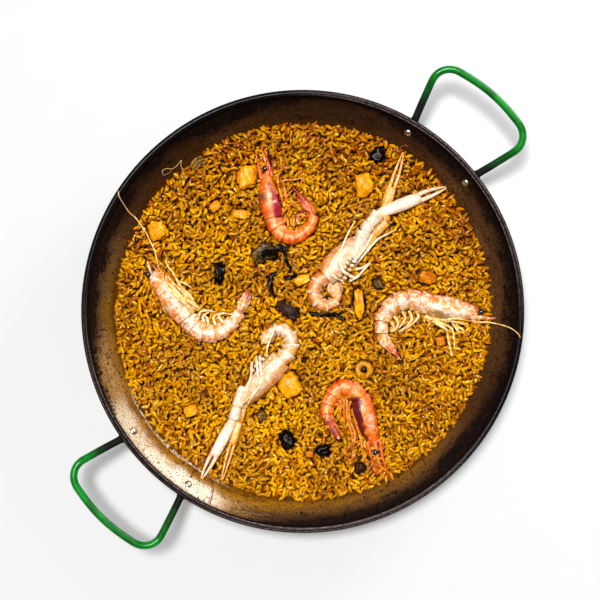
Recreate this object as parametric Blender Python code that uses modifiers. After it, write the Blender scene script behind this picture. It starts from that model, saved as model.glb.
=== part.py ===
"""A round steel pan of seafood rice, 420 mm across the rim, with two wire handles.

Metres, +Z up, the origin at the middle of the pan's underside, +X along the handles' line.
The food is laid out on axes of its own, turned from the handles' line by SERVING_TURN.
Places and link lengths of the food are in millimetres, and bearings in degrees on those axes.
"""
import math
import random

import bmesh
import bpy
from mathutils import Matrix, Vector, geometry
from mathutils.bvhtree import BVHTree

MM = 0.001
GAP = 0.0003
SERVING_TURN = math.radians(-47.4)

# Pan: sheet steel with a sloping wall and a rolled lip
RIM_RADIUS = 0.210
PAN_HEIGHT = 0.046
SHEET = 0.0015
LIP_RADIUS = 0.0032
WALL_ANGLE = math.radians(47)
CORNER_RADIUS = 0.008
PAN_SIDES = 56
LIP_POINTS = 8
CORNER_POINTS = 3

# Handles: one bent wire each, flattened and riveted on the outside of the wall
WIRE_RADIUS = 0.0036
RIVET_HALF_ANGLE = math.radians(10.6)
HANDLE_SKEW = math.radians(1.5)
RIVET_HEIGHT = 0.0341
SHANK_RADIUS = 0.0024
HEAD_RADIUS = 0.0038
HEAD_RISE = 0.0019
HEAD_SHOULDER = (0.62, 0.78)
RIVET_SIDES = 10
TAB_RADIUS = 0.0074
TAB_THICKNESS = 0.003
WIRE_ROOT = 0.0056
LEG_OUT = 0.2090
LEG_HALF_SPREAD = 0.0397
LEG_HEIGHT = 0.0353
LEG_RISE = 0.0028
LEG_SPREAD = 0.0035
SHOULDER_STEP = 0.0100
GRIP_HALF_SPREAD = 0.0526
GRIP_OUT = 0.2716
GRIP_BOW = 0.0038
GRIP_HEIGHT = 0.0500
GRIP_SAG = 0.0020
GRIP_CORNER = 0.0188
GRIP_CORNER_LINKS = 4

# Rice: a flat bed whose top has a ridge the size of a grain in every cell
RICE_LEVEL = 0.0168
RICE_CELL = 0.0140
RIDGE_HALF_LENGTH = 0.0030
RIDGE_RISE = 0.0017
DIP_DEPTH = 0.0011
RICE_SWELL = 0.0010
EDGE_DROP = 0.0016
EDGE_WAVE = 0.0012
RICE_SEED = 7
SETTLE_GAP = 0.0005
SETTLE_STEPS = 7
RICE_MARGIN = 0.0055
RIDGE_WANDER = 0.0014
SWELL_WAVES = (41, 47)
REST_LEVEL = RICE_LEVEL - 0.0016

# Prawns: half-widths in mm along the shell, for a girth of 1
CARAPACE_WIDTHS = ((0.0, 4.0), (0.18, 6.6), (0.45, 8.6), (0.75, 9.6), (1.0, 8.8))
ABDOMEN_WIDTHS = (7.9, 7.6, 7.2, 6.6, 6.0, 5.0)
PLATE_STEP = 0.87
FLATNESS = 0.74
BODY_SIDES = 7
ABDOMEN_ROOT = 0.9
ROOT_SIZE = 0.8
ROOT_RISE = 0.0006
PLATE_ENDS = (0.12, 0.94)
TAIL_ROOT = 0.55
TAIL_SPREAD = 5.6
TAIL_WIDTHS = (2.6, 3.6, 3.4, 1.4)
TAIL_HALF_THICKNESS = 0.0013
TAIL_RISES = (0.0007, 0.0014, 0.0027)
EYE_RADIUS = 0.0028
EYE_HEIGHT = 0.0042
LIMB_RISE = 0.0012
LEG_RADII = (0.0013, 0.0007)
BEAK_RADII = (0.0019, 0.0006)
BEAK_RISE = 0.0030
FEELER_RADII = (0.0009, 0.0005)
FEELER_LIFTS = (0.0030, 0.0022)
FLAP_RADII = (0.0013, 0.0013, 0.0007)
FLAP_HEIGHT = 0.0030
FLAP_REACH = 0.0036
FLAP_TRAIL = 0.0022

PRAWNS = {
    "red_prawn_1": {
        "girth": 1.0, "head": (-36, 134), "carapace": (44, -80),
        "abdomen": ((10, -73), (10, -47), (10, -14), (10, 23), (10, 45), (11, 65)),
        "fan": ((10, 110), (11, 121), (17, 130)),
        "eye": (-36, 137), "rostrum": ((-35, 130), ((10, 103), (18, 104))),
        "antenna": ((-38, 127), ((13, 100), (10, 103), (11, 107))),
        "legs": (
            ((-18, 100), ((15, 105), (12, 102), (9, 69), (9, 63))),
            ((-16, 102), ((13, 93), (10, 101), (18, 9))),
            ((-20, 93), ((7, 49), (7, 39), (7, 14)))),
    },
    "red_prawn_2": {
        "girth": 1.1, "head": (69, -129), "carapace": (47, 107),
        "abdomen": ((12, 133), (10, 172), (10, 219), (10, 242), (9, 261), (8, 284)),
        "fan": ((9, 297), (10, 299), (6, 300)),
        "eye": (73, -127), "rostrum": ((69, -125), ((13, -79), (13, -74), (8, -66))),
        "antenna": ((71, -124), ((13, -83), (12, -74), (12, -66))),
        "legs": (
            ((47, -86), ((9, -100), (14, -72), (15, -92), (12, -97), (7, -126))),
            ((50, -107), ((14, -69), (17, -80))),
            ((55, -122), ((9, -56), (9, -70)))),
    },
    "pale_prawn_1": {
        "girth": 1.2, "head": (-146, 38), "carapace": (56, -52),
        "abdomen": ((10, -51), (11, -35), (11, -8), (11, 23), (11, 41), (12, 51)),
        "fan": ((11, 66), (9, 66), (8, 68)),
        "eye": (-148, 36), "rostrum": ((-143, 34), ((7, 105), (7, 106))),
        "antenna": ((-141, 33), ((10, 108), (13, 101), (10, 114), (15, 118), (14, 126), (6, 132))),
        "legs": (
            ((-104, 7), ((12, 136), (14, 138), (9, 126), (8, 104))),
            ((-102, 5), ((16, 122), (14, 133), (8, 130))),
            ((-96, 4), ((10, 145), (13, 150)))),
    },
    "pale_prawn_2": {
        "girth": 1.3, "head": (170, -2), "carapace": (47, 171),
        "abdomen": ((11, 158), (11, 172), (11, 192), (11, 216), (12, 240), (13, 264)),
        "fan": ((11, 285), (10, 302), (15, 311)),
        "eye": (170, 0), "rostrum": ((163, -4), ((7, -6), (7, -6))),
        "antenna": ((162, -6), ((13, -3), (8, -8), (8, -14), (7, -23))),
        "legs": (
            ((126, -11), ((9, -24), (9, -27), (10, -79), (10, -87))),
            ((120, -8), ((12, -37), (11, -36), (10, -80))),
            ((144, -11), ((6, -59), (6, -59)))),
    },
}

# Langoustines: a broader body, a tightly curled abdomen and two long claws
LANGOUSTINE_GIRTH = 1.25
CLAW_WIDTHS = ((0.0, 2.4), (0.12, 4.6), (0.38, 5.2), (0.58, 4.6))
CLAW_FINGER = ((0.52, 2.2, 0.72), (0.8, 1.9, 1.0), (1.0, 0.5, 0.35))
FINGER_SPREAD = 2.4
CLAW_ROOT = 0.0025
CLAW_REST = 0.0006
CLAW_LIFT = 0.0015
CLAW_CLEARANCE = 0.0030
CLAW_FLATNESS = 0.62
FINGER_FLATNESS = 0.8
ARM_RADII = (0.0036, 0.0024)
ARM_RISE = 0.0004
THIN_LEG_RADII = (0.0014, 0.0008)
LANGOUSTINES = {
    "langoustine_1": {
        "tail_girth": 0.92, "head": (52, 70), "carapace": (47, -129),
        "abdomen": ((9, -146), (10, -110), (10, -72), (9, -25), (9, 25), (8, 65)),
        "fan": ((5, 100), (6, 108)),
        "arms": (
            ((49, 50), ((28, 70), (9, 50), (14, 51)), 21, 67),
            ((55, 54), ((23, 56), (18, 47), (12, 95)), 72, 52)),
        "legs": (
            ((49, 32), ((10, 153), (10, 119), (9, 94), (12, 68), (11, 66))),
            ((39, 29), ((9, 156), (9, 111), (8, 67))),
            ((50, 44), ((12, 20), (10, 40)))),
    },
    "langoustine_2": {
        "tail_girth": 1.08, "head": (-60, -90), "carapace": (58, 48),
        "abdomen": ((10, 45), (10, 66), (10, 93), (9, 131), (8, 176), (7, 205)),
        "fan": ((6, 212), (8, 218)),
        "arms": (
            ((-57, -72), ((20, -106), (13, -108)), -118, 64),
            ((-51, -74), ((20, -100), (12, -100)), -105, 60)),
        "legs": (
            ((-47, -47), ((17, -86), (10, -103))),
            ((-38, -66), ((8, -131), (8, -121)))),
    },
}

# Chunks: place, length x width x height, how far the chunk turns, and its finish
CHUNKS = {
    "cuttlefish_1": ((-53.5, 129.0), (17, 20, 12), 8, "golden"),
    "cuttlefish_2": ((-139.3, 77.7), (16, 17, 12), 20, "golden"),
    "cuttlefish_3": ((-59.5, 93.5), (17, 8, 7), -5, "golden"),
    "cuttlefish_4": ((-84.4, 101.2), (10, 8, 7), 40, "golden"),
    "cuttlefish_5": ((58.8, 121.8), (16, 20, 12), 12, "golden"),
    "cuttlefish_6": ((-12.2, -71.6), (19, 20, 12), 30, "golden"),
    "cuttlefish_7": ((-107.7, -96.1), (12, 10, 8), 15, "golden"),
    "cuttlefish_8": ((119.8, 32.0), (14, 11, 9), -20, "orange"),
    "cuttlefish_9": ((133.0, -29.0), (9, 9, 7), 10, "orange"),
    "cuttlefish_10": ((6.8, -137.9), (7, 6, 6), 0, "orange"),
    "onion_slice": ((-96.0, 136.0), (17, 13, 5), 40, "clear"),
    "mussel_yellow": ((0.4, 30.4), (9, 12, 7), 0, "golden"),
    "mussel_frilled": ((-36.7, 57.5), (20, 16, 10), 20, "brown"),
    "dark_piece_1": ((-12.2, 0.4), (20, 9, 5), -35, "dark"),
    "dark_piece_2": ((-79.9, 37.1), (7, 17, 5), -8, "dark"),
    "dark_piece_3": ((-15.1, -124.4), (11, 14, 9), 10, "dark"),
    "dark_piece_4": ((18.8, -135.0), (12, 8, 7), 15, "dark"),
    "dark_piece_5": ((73.0, 150.0), (11, 14, 6), -30, "dark"),
    "dark_piece_6": ((73.0, 26.0), (8, 9, 5), 20, "dark"),
    "dark_piece_7": ((-39.6, -101.4), (7, 10, 5), 25, "dark"),
    "dark_piece_8": ((55.0, -151.0), (10, 10, 4), 15, "brown"),
}
CHUNK_SHOWS = 0.62
CHUNK_SINK = 0.0028
CHUNK_JITTER = 0.0005
CHUNK_SOFTNESS = 0.27
STRIP_RISE = 0.0012
STRIP_TAPER = 0.7
SHELL_RISE = 0.0026

# Strips: dark ribbons as walks of (length, bearing) from a start, with their half-width
STRIPS = {
    "dark_strip_1": ((-24.7, 36.9), ((7, 212), (9, -93), (11, -70)), 1.4),
    "dark_strip_2": ((-12.6, 64.1), ((7, 225), (10, -83), (11, -59)), 1.3),
    "dark_strip_3": ((-14.8, 31.7), ((6, 19), (4, 50)), 1.3),
    "dark_strip_4": ((6.0, -1.6), ((15, -7), (12, -2), (9, -31)), 1.5),
}

RING_CENTRE = (59.3, -56.7)
RING_RADIUS = 0.0068
RING_THICKNESS = 0.0027

SHELL_CENTRE = (54.5, 6.5)
SHELL_HALF = (0.0165, 0.0085, 0.0070)
SHELL_BEARING = math.radians(-84)
SHELL_THICKNESS = 0.0012
MEAT_HALF = (0.0125, 0.0052, 0.0038)

FINISHES = {
    "pan_steel": ((0.045, 0.030, 0.026), 0.38, 0.85),
    "rivet_steel": ((0.62, 0.61, 0.58), 0.28, 1.0),
    "green_enamel": ((0.0, 0.21, 0.045), 0.30, 0.0),
    "rice": ((0.62, 0.29, 0.015), 0.40, 0.0),
    "red_shell": ((0.72, 0.16, 0.07), 0.34, 0.0),
    "pale_shell": ((0.88, 0.60, 0.36), 0.34, 0.0),
    "white_shell": ((0.90, 0.74, 0.58), 0.34, 0.0),
    "golden": ((0.78, 0.40, 0.04), 0.36, 0.0),
    "orange": ((0.66, 0.25, 0.03), 0.38, 0.0),
    "clear": ((0.62, 0.45, 0.18), 0.25, 0.0),
    "brown": ((0.16, 0.07, 0.025), 0.34, 0.0),
    "dark": ((0.022, 0.016, 0.015), 0.25, 0.0),
}


def clear_scene():
    for thing in list(bpy.data.objects):
        bpy.data.objects.remove(thing)


def new_collection(name):
    collection = bpy.data.collections.new(name)
    bpy.context.scene.collection.children.link(collection)
    return collection


def finish(name):
    colour, roughness, metallic = FINISHES[name]
    material = bpy.data.materials.get(name) or bpy.data.materials.new(name)
    material.use_nodes = True
    shader = material.node_tree.nodes["Principled BSDF"]
    shader.inputs["Base Color"].default_value = (*colour, 1.0)
    shader.inputs["Roughness"].default_value = roughness
    shader.inputs["Metallic"].default_value = metallic
    return material


def new_object(name, mesh, collection, parent=None):
    shape = bpy.data.objects.new(name, mesh)
    collection.objects.link(shape)
    shape.parent = parent
    return shape


def mesh_from(bm, name):
    mesh = bpy.data.meshes.new(name)
    bmesh.ops.recalc_face_normals(bm, faces=bm.faces)
    bm.to_mesh(mesh)
    bm.free()
    return mesh


def evaluated_mesh(shape):
    graph = bpy.context.evaluated_depsgraph_get()
    return bpy.data.meshes.new_from_object(shape.evaluated_get(graph))


def as_guide(shape):
    shape.hide_render = True
    shape.display_type = "WIRE"


# ---- shapes shared by the pieces ----

def heading(bearing):
    return Vector((math.cos(math.radians(bearing)), math.sin(math.radians(bearing))))


def walk(start, links):
    """The points of a path that starts at a place in mm and goes through (length, bearing) links."""
    points = [Vector(start) * MM]
    for length, bearing in links:
        points.append(points[-1] + heading(bearing) * length * MM)
    return points


def point_on(points, share):
    """The point at a share of the path's links."""
    place = share * (len(points) - 1)
    link = min(int(place), len(points) - 2)
    return points[link].lerp(points[link + 1], place - link)


def loft(stations, sides):
    """A closed body through rings, each a (centre, direction, half-width, half-height, underside)."""
    bm = bmesh.new()
    rings = []
    for centre, direction, half_width, half_height, underside in stations:
        across = Vector((-direction.y, direction.x, 0.0))
        middle = Vector((centre.x, centre.y, underside + half_height))
        ring = []
        for index in range(sides):
            turn = 2 * math.pi * (index + 0.5) / sides
            rise = Vector((0.0, 0.0, half_height * math.sin(turn)))
            ring.append(bm.verts.new(middle + across * half_width * math.cos(turn) + rise))
        rings.append(ring)
    for near, far in zip(rings, rings[1:]):
        for index in range(sides):
            after = (index + 1) % sides
            bm.faces.new((near[index], near[after], far[after], far[index]))
    bm.faces.new(rings[0])
    bm.faces.new(rings[-1])
    return mesh_from(bm, "loft")


def tapered_wire(points, radii, roundness=0):
    """A wire with filled caps, as a mesh, its radius changing from point to point."""
    curve = bpy.data.curves.new("wire", "CURVE")
    curve.dimensions = "3D"
    curve.bevel_depth = 1.0
    curve.bevel_resolution = roundness
    curve.use_fill_caps = True
    spline = curve.splines.new("POLY")
    spline.points.add(len(points) - 1)
    for control, point, radius in zip(spline.points, points, radii):
        control.co = (*point, 1.0)
        control.radius = radius
    guide = new_object("wire", curve, bpy.context.scene.collection)
    bpy.context.view_layer.update()
    mesh = evaluated_mesh(guide)
    bpy.data.objects.remove(guide)
    bm = bmesh.new()
    bm.from_mesh(mesh)
    bmesh.ops.remove_doubles(bm, verts=bm.verts, dist=0.00001)
    return mesh_from(bm, "wire")


def ball(centre, half_sizes, turn=0.0, detail=2):
    bm = bmesh.new()
    bmesh.ops.create_icosphere(bm, subdivisions=detail, radius=1.0)
    turned_about_z = Matrix.Rotation(turn, 4, "Z")
    shape = Matrix.Translation(centre) @ turned_about_z @ Matrix.Diagonal((*half_sizes, 1.0))
    bmesh.ops.transform(bm, matrix=shape, verts=bm.verts)
    return mesh_from(bm, "ball")


def fuse(name, meshes, collection, parent):
    """One solid from meshes that overlap, by a union with a collection that is then removed."""
    others = new_collection("fusing")
    body = new_object(name + "_core", meshes[0], bpy.context.scene.collection)
    pieces = [new_object("fusing_piece", mesh, others) for mesh in meshes[1:]]
    union = body.modifiers.new("Union", "BOOLEAN")
    union.operand_type = "COLLECTION"
    union.collection = others
    union.operation = "UNION"
    union.solver = "EXACT"
    union.use_self = True
    bpy.context.view_layer.update()
    mesh = evaluated_mesh(body)
    for piece in [*pieces, body]:
        bpy.data.objects.remove(piece)
    bpy.data.collections.remove(others)
    bm = bmesh.new()
    bm.from_mesh(mesh)
    bmesh.ops.triangulate(bm, faces=bm.faces)
    return new_object(name, mesh_from(bm, name), collection, parent)


# ---- pan ----

SLOPE = Vector((math.cos(WALL_ANGLE), math.sin(WALL_ANGLE)))
OUTWARD = Vector((math.sin(WALL_ANGLE), -math.cos(WALL_ANGLE)))
LIP_CENTRE = Vector((RIM_RADIUS - LIP_RADIUS, PAN_HEIGHT - LIP_RADIUS))


def corner_centre():
    """The centre, as (radius, height), of the bend between the floor and the wall."""
    height = SHEET + CORNER_RADIUS
    middle = CORNER_RADIUS + SHEET / 2
    length = (LIP_CENTRE.y - height - middle * OUTWARD.y) / SLOPE.y
    return Vector((LIP_CENTRE.x - middle * OUTWARD.x - length * SLOPE.x, height))


def wall_point(height, inset):
    """The point of the inner wall at a height, kept inside the steel by an inset."""
    foot = corner_centre() + OUTWARD * (CORNER_RADIUS - inset)
    return foot + SLOPE * ((height - foot.y) / SLOPE.y)


def corner_arc(radius):
    """Points round the bend from the floor up to the wall."""
    centre = corner_centre()
    points = []
    for index in range(CORNER_POINTS):
        angle = -math.pi / 2 + WALL_ANGLE * index / (CORNER_POINTS - 1)
        points.append(centre + Vector((math.cos(angle), math.sin(angle))) * radius)
    return points


def lip_arc():
    """Points round the rolled lip, from the inner wall over the top to the outer wall."""
    half_gap = math.asin(SHEET / 2 / LIP_RADIUS)
    first = math.pi + WALL_ANGLE - half_gap
    sweep = 2 * math.pi - 2 * half_gap
    points = []
    for index in range(LIP_POINTS):
        angle = first - sweep * index / (LIP_POINTS - 1)
        points.append(LIP_CENTRE + Vector((math.cos(angle), math.sin(angle))) * LIP_RADIUS)
    return points


def turned(name, profile, sides, collection, parent=None):
    """A body of revolution from (radius, height) points that run down its outer side."""
    bm = bmesh.new()
    verts = [bm.verts.new((radius, 0.0, height)) for radius, height in profile]
    for near, far in zip(verts, verts[1:]):
        bm.edges.new((near, far))
    mesh = bpy.data.meshes.new(name)
    bm.to_mesh(mesh)
    bm.free()
    shape = new_object(name, mesh, collection, parent)
    screw = shape.modifiers.new("Turn", "SCREW")
    screw.axis = "Z"
    screw.steps = sides
    screw.render_steps = sides
    screw.use_merge_vertices = True
    screw.merge_threshold = 0.00001
    return shape


def rivet_frames():
    """For each rivet, the frame on the wall's outer face: +X runs up the wall and +Z out of it.

    Both handles sit a little to the back of the pan's middle, by HANDLE_SKEW.
    """
    foot = wall_point(RIVET_HEIGHT, 0.0) + OUTWARD * SHEET
    up_wall = Vector((SLOPE.x, 0.0, SLOPE.y))
    out_of_wall = Vector((OUTWARD.x, 0.0, OUTWARD.y))
    axes = Matrix((up_wall, out_of_wall.cross(up_wall), out_of_wall)).transposed().to_4x4()
    frames = {}
    for end, middle in (("right", 0.0), ("left", math.pi)):
        for side, half_angle in (("back", RIVET_HALF_ANGLE), ("front", -RIVET_HALF_ANGLE)):
            turn = half_angle + HANDLE_SKEW
            azimuth = middle + turn if end == "right" else middle - turn
            place = Matrix.Rotation(azimuth, 4, "Z") @ Matrix.Translation((foot.x, 0.0, foot.y))
            frames[f"{end}_{side}"] = place @ axes
    return frames


def hole_cutter(name, frame, cutters):
    """A cylinder along a rivet's axis, a gap wider than the shank."""
    bm = bmesh.new()
    bmesh.ops.create_cone(bm, cap_ends=True, segments=12, radius1=SHANK_RADIUS + GAP,
                          radius2=SHANK_RADIUS + GAP, depth=0.030)
    cutter = new_object(name, mesh_from(bm, name), cutters)
    cutter.matrix_world = frame
    as_guide(cutter)
    return cutter


def make_pan(parts, cutters):
    profile = [Vector((0.0, SHEET)), *corner_arc(CORNER_RADIUS), *lip_arc(),
               *reversed(corner_arc(CORNER_RADIUS + SHEET)), Vector((0.0, 0.0))]
    pan = turned("pan", profile, PAN_SIDES, parts)
    pan.data.materials.append(finish("pan_steel"))
    holes = pan.modifiers.new("Rivet holes", "BOOLEAN")
    holes.operand_type = "COLLECTION"
    holes.collection = cutters
    holes.operation = "DIFFERENCE"
    holes.solver = "EXACT"


def make_rivets(parts):
    """Rivets with a domed head inside the pan and another outside the handle's tab."""
    inner = -SHEET - GAP
    outer = TAB_THICKNESS + 2 * GAP
    shoulder = Vector((HEAD_RADIUS * HEAD_SHOULDER[0], HEAD_RISE * HEAD_SHOULDER[1]))
    profile = [
        (0.0, outer + HEAD_RISE), (shoulder.x, outer + shoulder.y), (HEAD_RADIUS, outer),
        (SHANK_RADIUS, outer), (SHANK_RADIUS, inner), (HEAD_RADIUS, inner),
        (shoulder.x, inner - shoulder.y), (0.0, inner - HEAD_RISE)]
    for place, frame in rivet_frames().items():
        rivet = turned("rivet_" + place, profile, RIVET_SIDES, parts)
        rivet.matrix_world = frame
        rivet.data.materials.append(finish("rivet_steel"))


# ---- handles ----

def handle_path():
    """The wire's centre line from one tab, out under the lip, round the grip and back."""
    off_wall = SHEET + WIRE_RADIUS + 2 * GAP
    foot = wall_point(RIVET_HEIGHT, 0.0) + OUTWARD * off_wall + SLOPE * WIRE_ROOT
    root = Matrix.Rotation(RIVET_HALF_ANGLE, 3, "Z") @ Vector((foot.x, 0.0, foot.y))
    corner = Vector((GRIP_OUT - GRIP_BOW - GRIP_CORNER, GRIP_HALF_SPREAD - GRIP_CORNER))
    half = [root, Vector((LEG_OUT, LEG_HALF_SPREAD, LEG_HEIGHT)),
            Vector((LEG_OUT + SHOULDER_STEP, LEG_HALF_SPREAD + LEG_SPREAD, LEG_HEIGHT + LEG_RISE))]
    for index in range(GRIP_CORNER_LINKS + 1):
        angle = math.pi / 2 * (index - 0.5) / (GRIP_CORNER_LINKS - 0.5)
        out = corner.x + GRIP_CORNER * math.sin(angle)
        aside = corner.y + GRIP_CORNER * math.cos(angle)
        half.append(Vector((out, aside, GRIP_HEIGHT - GRIP_SAG * (1 - math.sin(angle)))))
    mirrored = [Vector((point.x, -point.y, point.z)) for point in reversed(half)]
    path = [*half, Vector((GRIP_OUT, 0.0, GRIP_HEIGHT)), *mirrored]
    return [Matrix.Rotation(HANDLE_SKEW, 3, "Z") @ point for point in path]


def tab_mesh(frame):
    """The wire's flattened end, a disc that lies on the wall's outer face."""
    bm = bmesh.new()
    bmesh.ops.create_cone(bm, cap_ends=True, segments=14, radius1=TAB_RADIUS, radius2=TAB_RADIUS,
                          depth=TAB_THICKNESS)
    place = frame @ Matrix.Translation((0.0, 0.0, GAP + TAB_THICKNESS / 2))
    bmesh.ops.transform(bm, matrix=place, verts=bm.verts)
    return mesh_from(bm, "tab")


def make_handle(name, end, parts, cutters):
    """A handle at +X or, mirrored, at -X, cut for its two rivets."""
    frames = rivet_frames()
    facing = 1.0 if end == "right" else -1.0
    points = [Vector((point.x * facing, point.y, point.z)) for point in handle_path()]
    wire = tapered_wire(points, [WIRE_RADIUS] * len(points), roundness=1)
    tabs = [tab_mesh(frames[f"{end}_{side}"]) for side in ("back", "front")]
    handle = fuse(name, [wire, *tabs], parts, None)
    handle.data.materials.append(finish("green_enamel"))
    for side in ("back", "front"):
        hole = handle.modifiers.new("Rivet hole " + side, "BOOLEAN")
        hole.object = cutters.objects[f"hole_{end}_{side}"]
        hole.operation = "DIFFERENCE"
        hole.solver = "EXACT"


# ---- seafood ----

def carapace(spine, girth):
    """The front shell along the first link of the spine."""
    start, end = spine[0], spine[1]
    direction = (end - start).normalized()
    stations = []
    for share, width in CARAPACE_WIDTHS:
        half = width * girth * MM
        stations.append((start.lerp(end, share), direction, half, half * FLATNESS, REST_LEVEL))
    return loft(stations, BODY_SIDES)


def abdomen(spine, girth):
    """Six plates that overlap like tiles, each wider at its rear edge than the next one's front."""
    root_half = ABDOMEN_WIDTHS[0] * girth * MM * ROOT_SIZE
    root = spine[0].lerp(spine[1], ABDOMEN_ROOT)
    ahead = (spine[2] - spine[1]).normalized()
    stations = [(root, ahead, root_half, root_half * FLATNESS, REST_LEVEL + ROOT_RISE)]
    for index, width in enumerate(ABDOMEN_WIDTHS):
        near, far = spine[index + 1], spine[index + 2]
        link = (far - near).normalized()
        before = (near - spine[index]).normalized()
        after = spine[min(index + 3, len(spine) - 1)] - far
        after = after.normalized() if after.length else link
        for place, turn, size in zip(PLATE_ENDS, (before, after), (PLATE_STEP, 1.0)):
            half = width * girth * MM * size
            ahead = (link + turn).normalized()
            stations.append((near.lerp(far, place), ahead, half, half * FLATNESS, REST_LEVEL))
    return loft(stations, BODY_SIDES)


def tail_fan(spine, links, girth):
    """Three flat blades that leave the last plate and spread a little."""
    root = spine[-2].lerp(spine[-1], TAIL_ROOT)
    blades = []
    for spread, rise in zip((-TAIL_SPREAD, TAIL_SPREAD, 0.0), TAIL_RISES):
        path = [root]
        for length, bearing in links:
            path.append(path[-1] + heading(bearing + spread) * length * MM)
        widths = TAIL_WIDTHS if len(links) == 3 else (TAIL_WIDTHS[0], TAIL_WIDTHS[1], TAIL_WIDTHS[3])
        stations = []
        for index, (point, width) in enumerate(zip(path, widths)):
            ahead = (path[min(index + 1, len(path) - 1)] - path[max(index - 1, 0)]).normalized()
            half = width * girth * MM
            stations.append((point, ahead, half, TAIL_HALF_THICKNESS, REST_LEVEL + rise))
        blades.append(loft(stations, 6))
    return blades


def rooted(spine, path):
    """The path of a leg, with a first point that reaches in towards the nearest part of the spine."""
    samples = [point_on(spine, step / 40) for step in range(41)]
    nearest = min(samples, key=lambda point: (point - path[0]).length)
    return [path[0].lerp(nearest, 0.6), *path]


def limb(path, radii, rise=LIMB_RISE):
    """A tapered leg, arm or spine of the shell, lying on the rice."""
    thick, thin = radii
    count = len(path) - 1
    points = []
    sizes = []
    for index, point in enumerate(path):
        radius = thick + (thin - thick) * index / count
        points.append((point.x, point.y, REST_LEVEL + radius + rise))
        sizes.append(radius)
    return tapered_wire(points, sizes)


def surface_under(point):
    """The height of the rice bed or of the pan's wall below a point of the food's axes."""
    radius = math.hypot(point.x, point.y)
    foot = wall_point(RICE_LEVEL, 0.0)
    if radius < foot.x:
        return RICE_LEVEL
    return foot.y + (radius - foot.x) * SLOPE.y / SLOPE.x


def antenna(path):
    """A thin feeler that lies on the rice and then climbs the pan's wall."""
    points = []
    radii = []
    thick, thin = FEELER_RADII
    for index, point in enumerate(path):
        lift = FEELER_LIFTS[0] if index < 2 else FEELER_LIFTS[1]
        points.append((point.x, point.y, surface_under(point) + lift))
        radii.append(thick + (thin - thick) * index / (len(path) - 1))
    return tapered_wire(points, radii)


def swimmerets(spine, girth):
    """Short curved flaps under the first five plates, on the inside of the curl."""
    flaps = []
    for near, far, width in zip(spine[1:6], spine[2:7], ABDOMEN_WIDTHS):
        middle = near.lerp(far, 0.5)
        link = (far - near).normalized()
        inward = Vector((-link.y, link.x))
        half = width * girth * MM
        path = [middle + inward * half * 0.5, middle + inward * half * 1.1,
                middle + inward * (half * 1.1 + FLAP_REACH) - link * FLAP_TRAIL]
        points = [(point.x, point.y, REST_LEVEL + FLAP_HEIGHT) for point in path]
        flaps.append(tapered_wire(points, FLAP_RADII))
    return flaps


def make_prawn(name, prawn, parts, serving, shell):
    girth = prawn["girth"]
    spine = walk(prawn["head"], (prawn["carapace"], *prawn["abdomen"]))
    pieces = [carapace(spine, girth), abdomen(spine, girth), *tail_fan(spine, prawn["fan"], girth)]
    eye = Vector(prawn["eye"]) * MM
    pieces.append(ball((eye.x, eye.y, REST_LEVEL + EYE_HEIGHT), [EYE_RADIUS] * 3, detail=1))
    for leg in prawn["legs"]:
        pieces.append(limb(rooted(spine, walk(*leg)), LEG_RADII))
    pieces.append(limb(walk(*prawn["rostrum"]), BEAK_RADII, rise=BEAK_RISE))
    pieces.append(antenna(walk(*prawn["antenna"])))
    pieces.extend(swimmerets(spine, girth))
    body = fuse(name, pieces, parts, serving)
    body.data.materials.append(finish(shell))


def claw(base, bearing, length):
    """A long slim claw, a palm and two fingers, whose tip lifts where it meets the pan's wall."""
    direction = heading(bearing)
    across = Vector((-direction.y, direction.x))
    reach = length * MM
    lift = surface_under(base + direction * (reach + CLAW_CLEARANCE)) - RICE_LEVEL + CLAW_LIFT
    stations = []
    for share, width in CLAW_WIDTHS:
        half = width * MM
        underside = REST_LEVEL + CLAW_REST + lift * share
        place = base + direction * reach * share
        stations.append((place, direction, half, half * CLAW_FLATNESS, underside))
    pieces = [loft(stations, 6)]
    for side in (-1.0, 1.0):
        finger = []
        for share, width, spread in CLAW_FINGER:
            place = base + direction * reach * share + across * side * FINGER_SPREAD * spread * MM
            underside = REST_LEVEL + CLAW_REST + lift * share
            finger.append((place, direction, width * MM, width * FINGER_FLATNESS * MM, underside))
        pieces.append(loft(finger, 5))
    return pieces


def make_langoustine(name, animal, parts, serving):
    girth = LANGOUSTINE_GIRTH
    tail_girth = animal["tail_girth"]
    spine = walk(animal["head"], (animal["carapace"], *animal["abdomen"]))
    pieces = [carapace(spine, girth), abdomen(spine, tail_girth), *tail_fan(spine, animal["fan"], girth)]
    for start, links, bearing, length in animal["arms"]:
        path = walk(start, links)
        pieces.append(limb(rooted(spine, path), ARM_RADII, rise=ARM_RISE))
        pieces.extend(claw(path[-1] - heading(bearing) * CLAW_ROOT, bearing, length))
    for leg in animal["legs"]:
        pieces.append(limb(rooted(spine, walk(*leg)), THIN_LEG_RADII))
    body = fuse(name, pieces, parts, serving)
    body.data.materials.append(finish("white_shell"))


# ---- chunks, strips and the mussel ----

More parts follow.
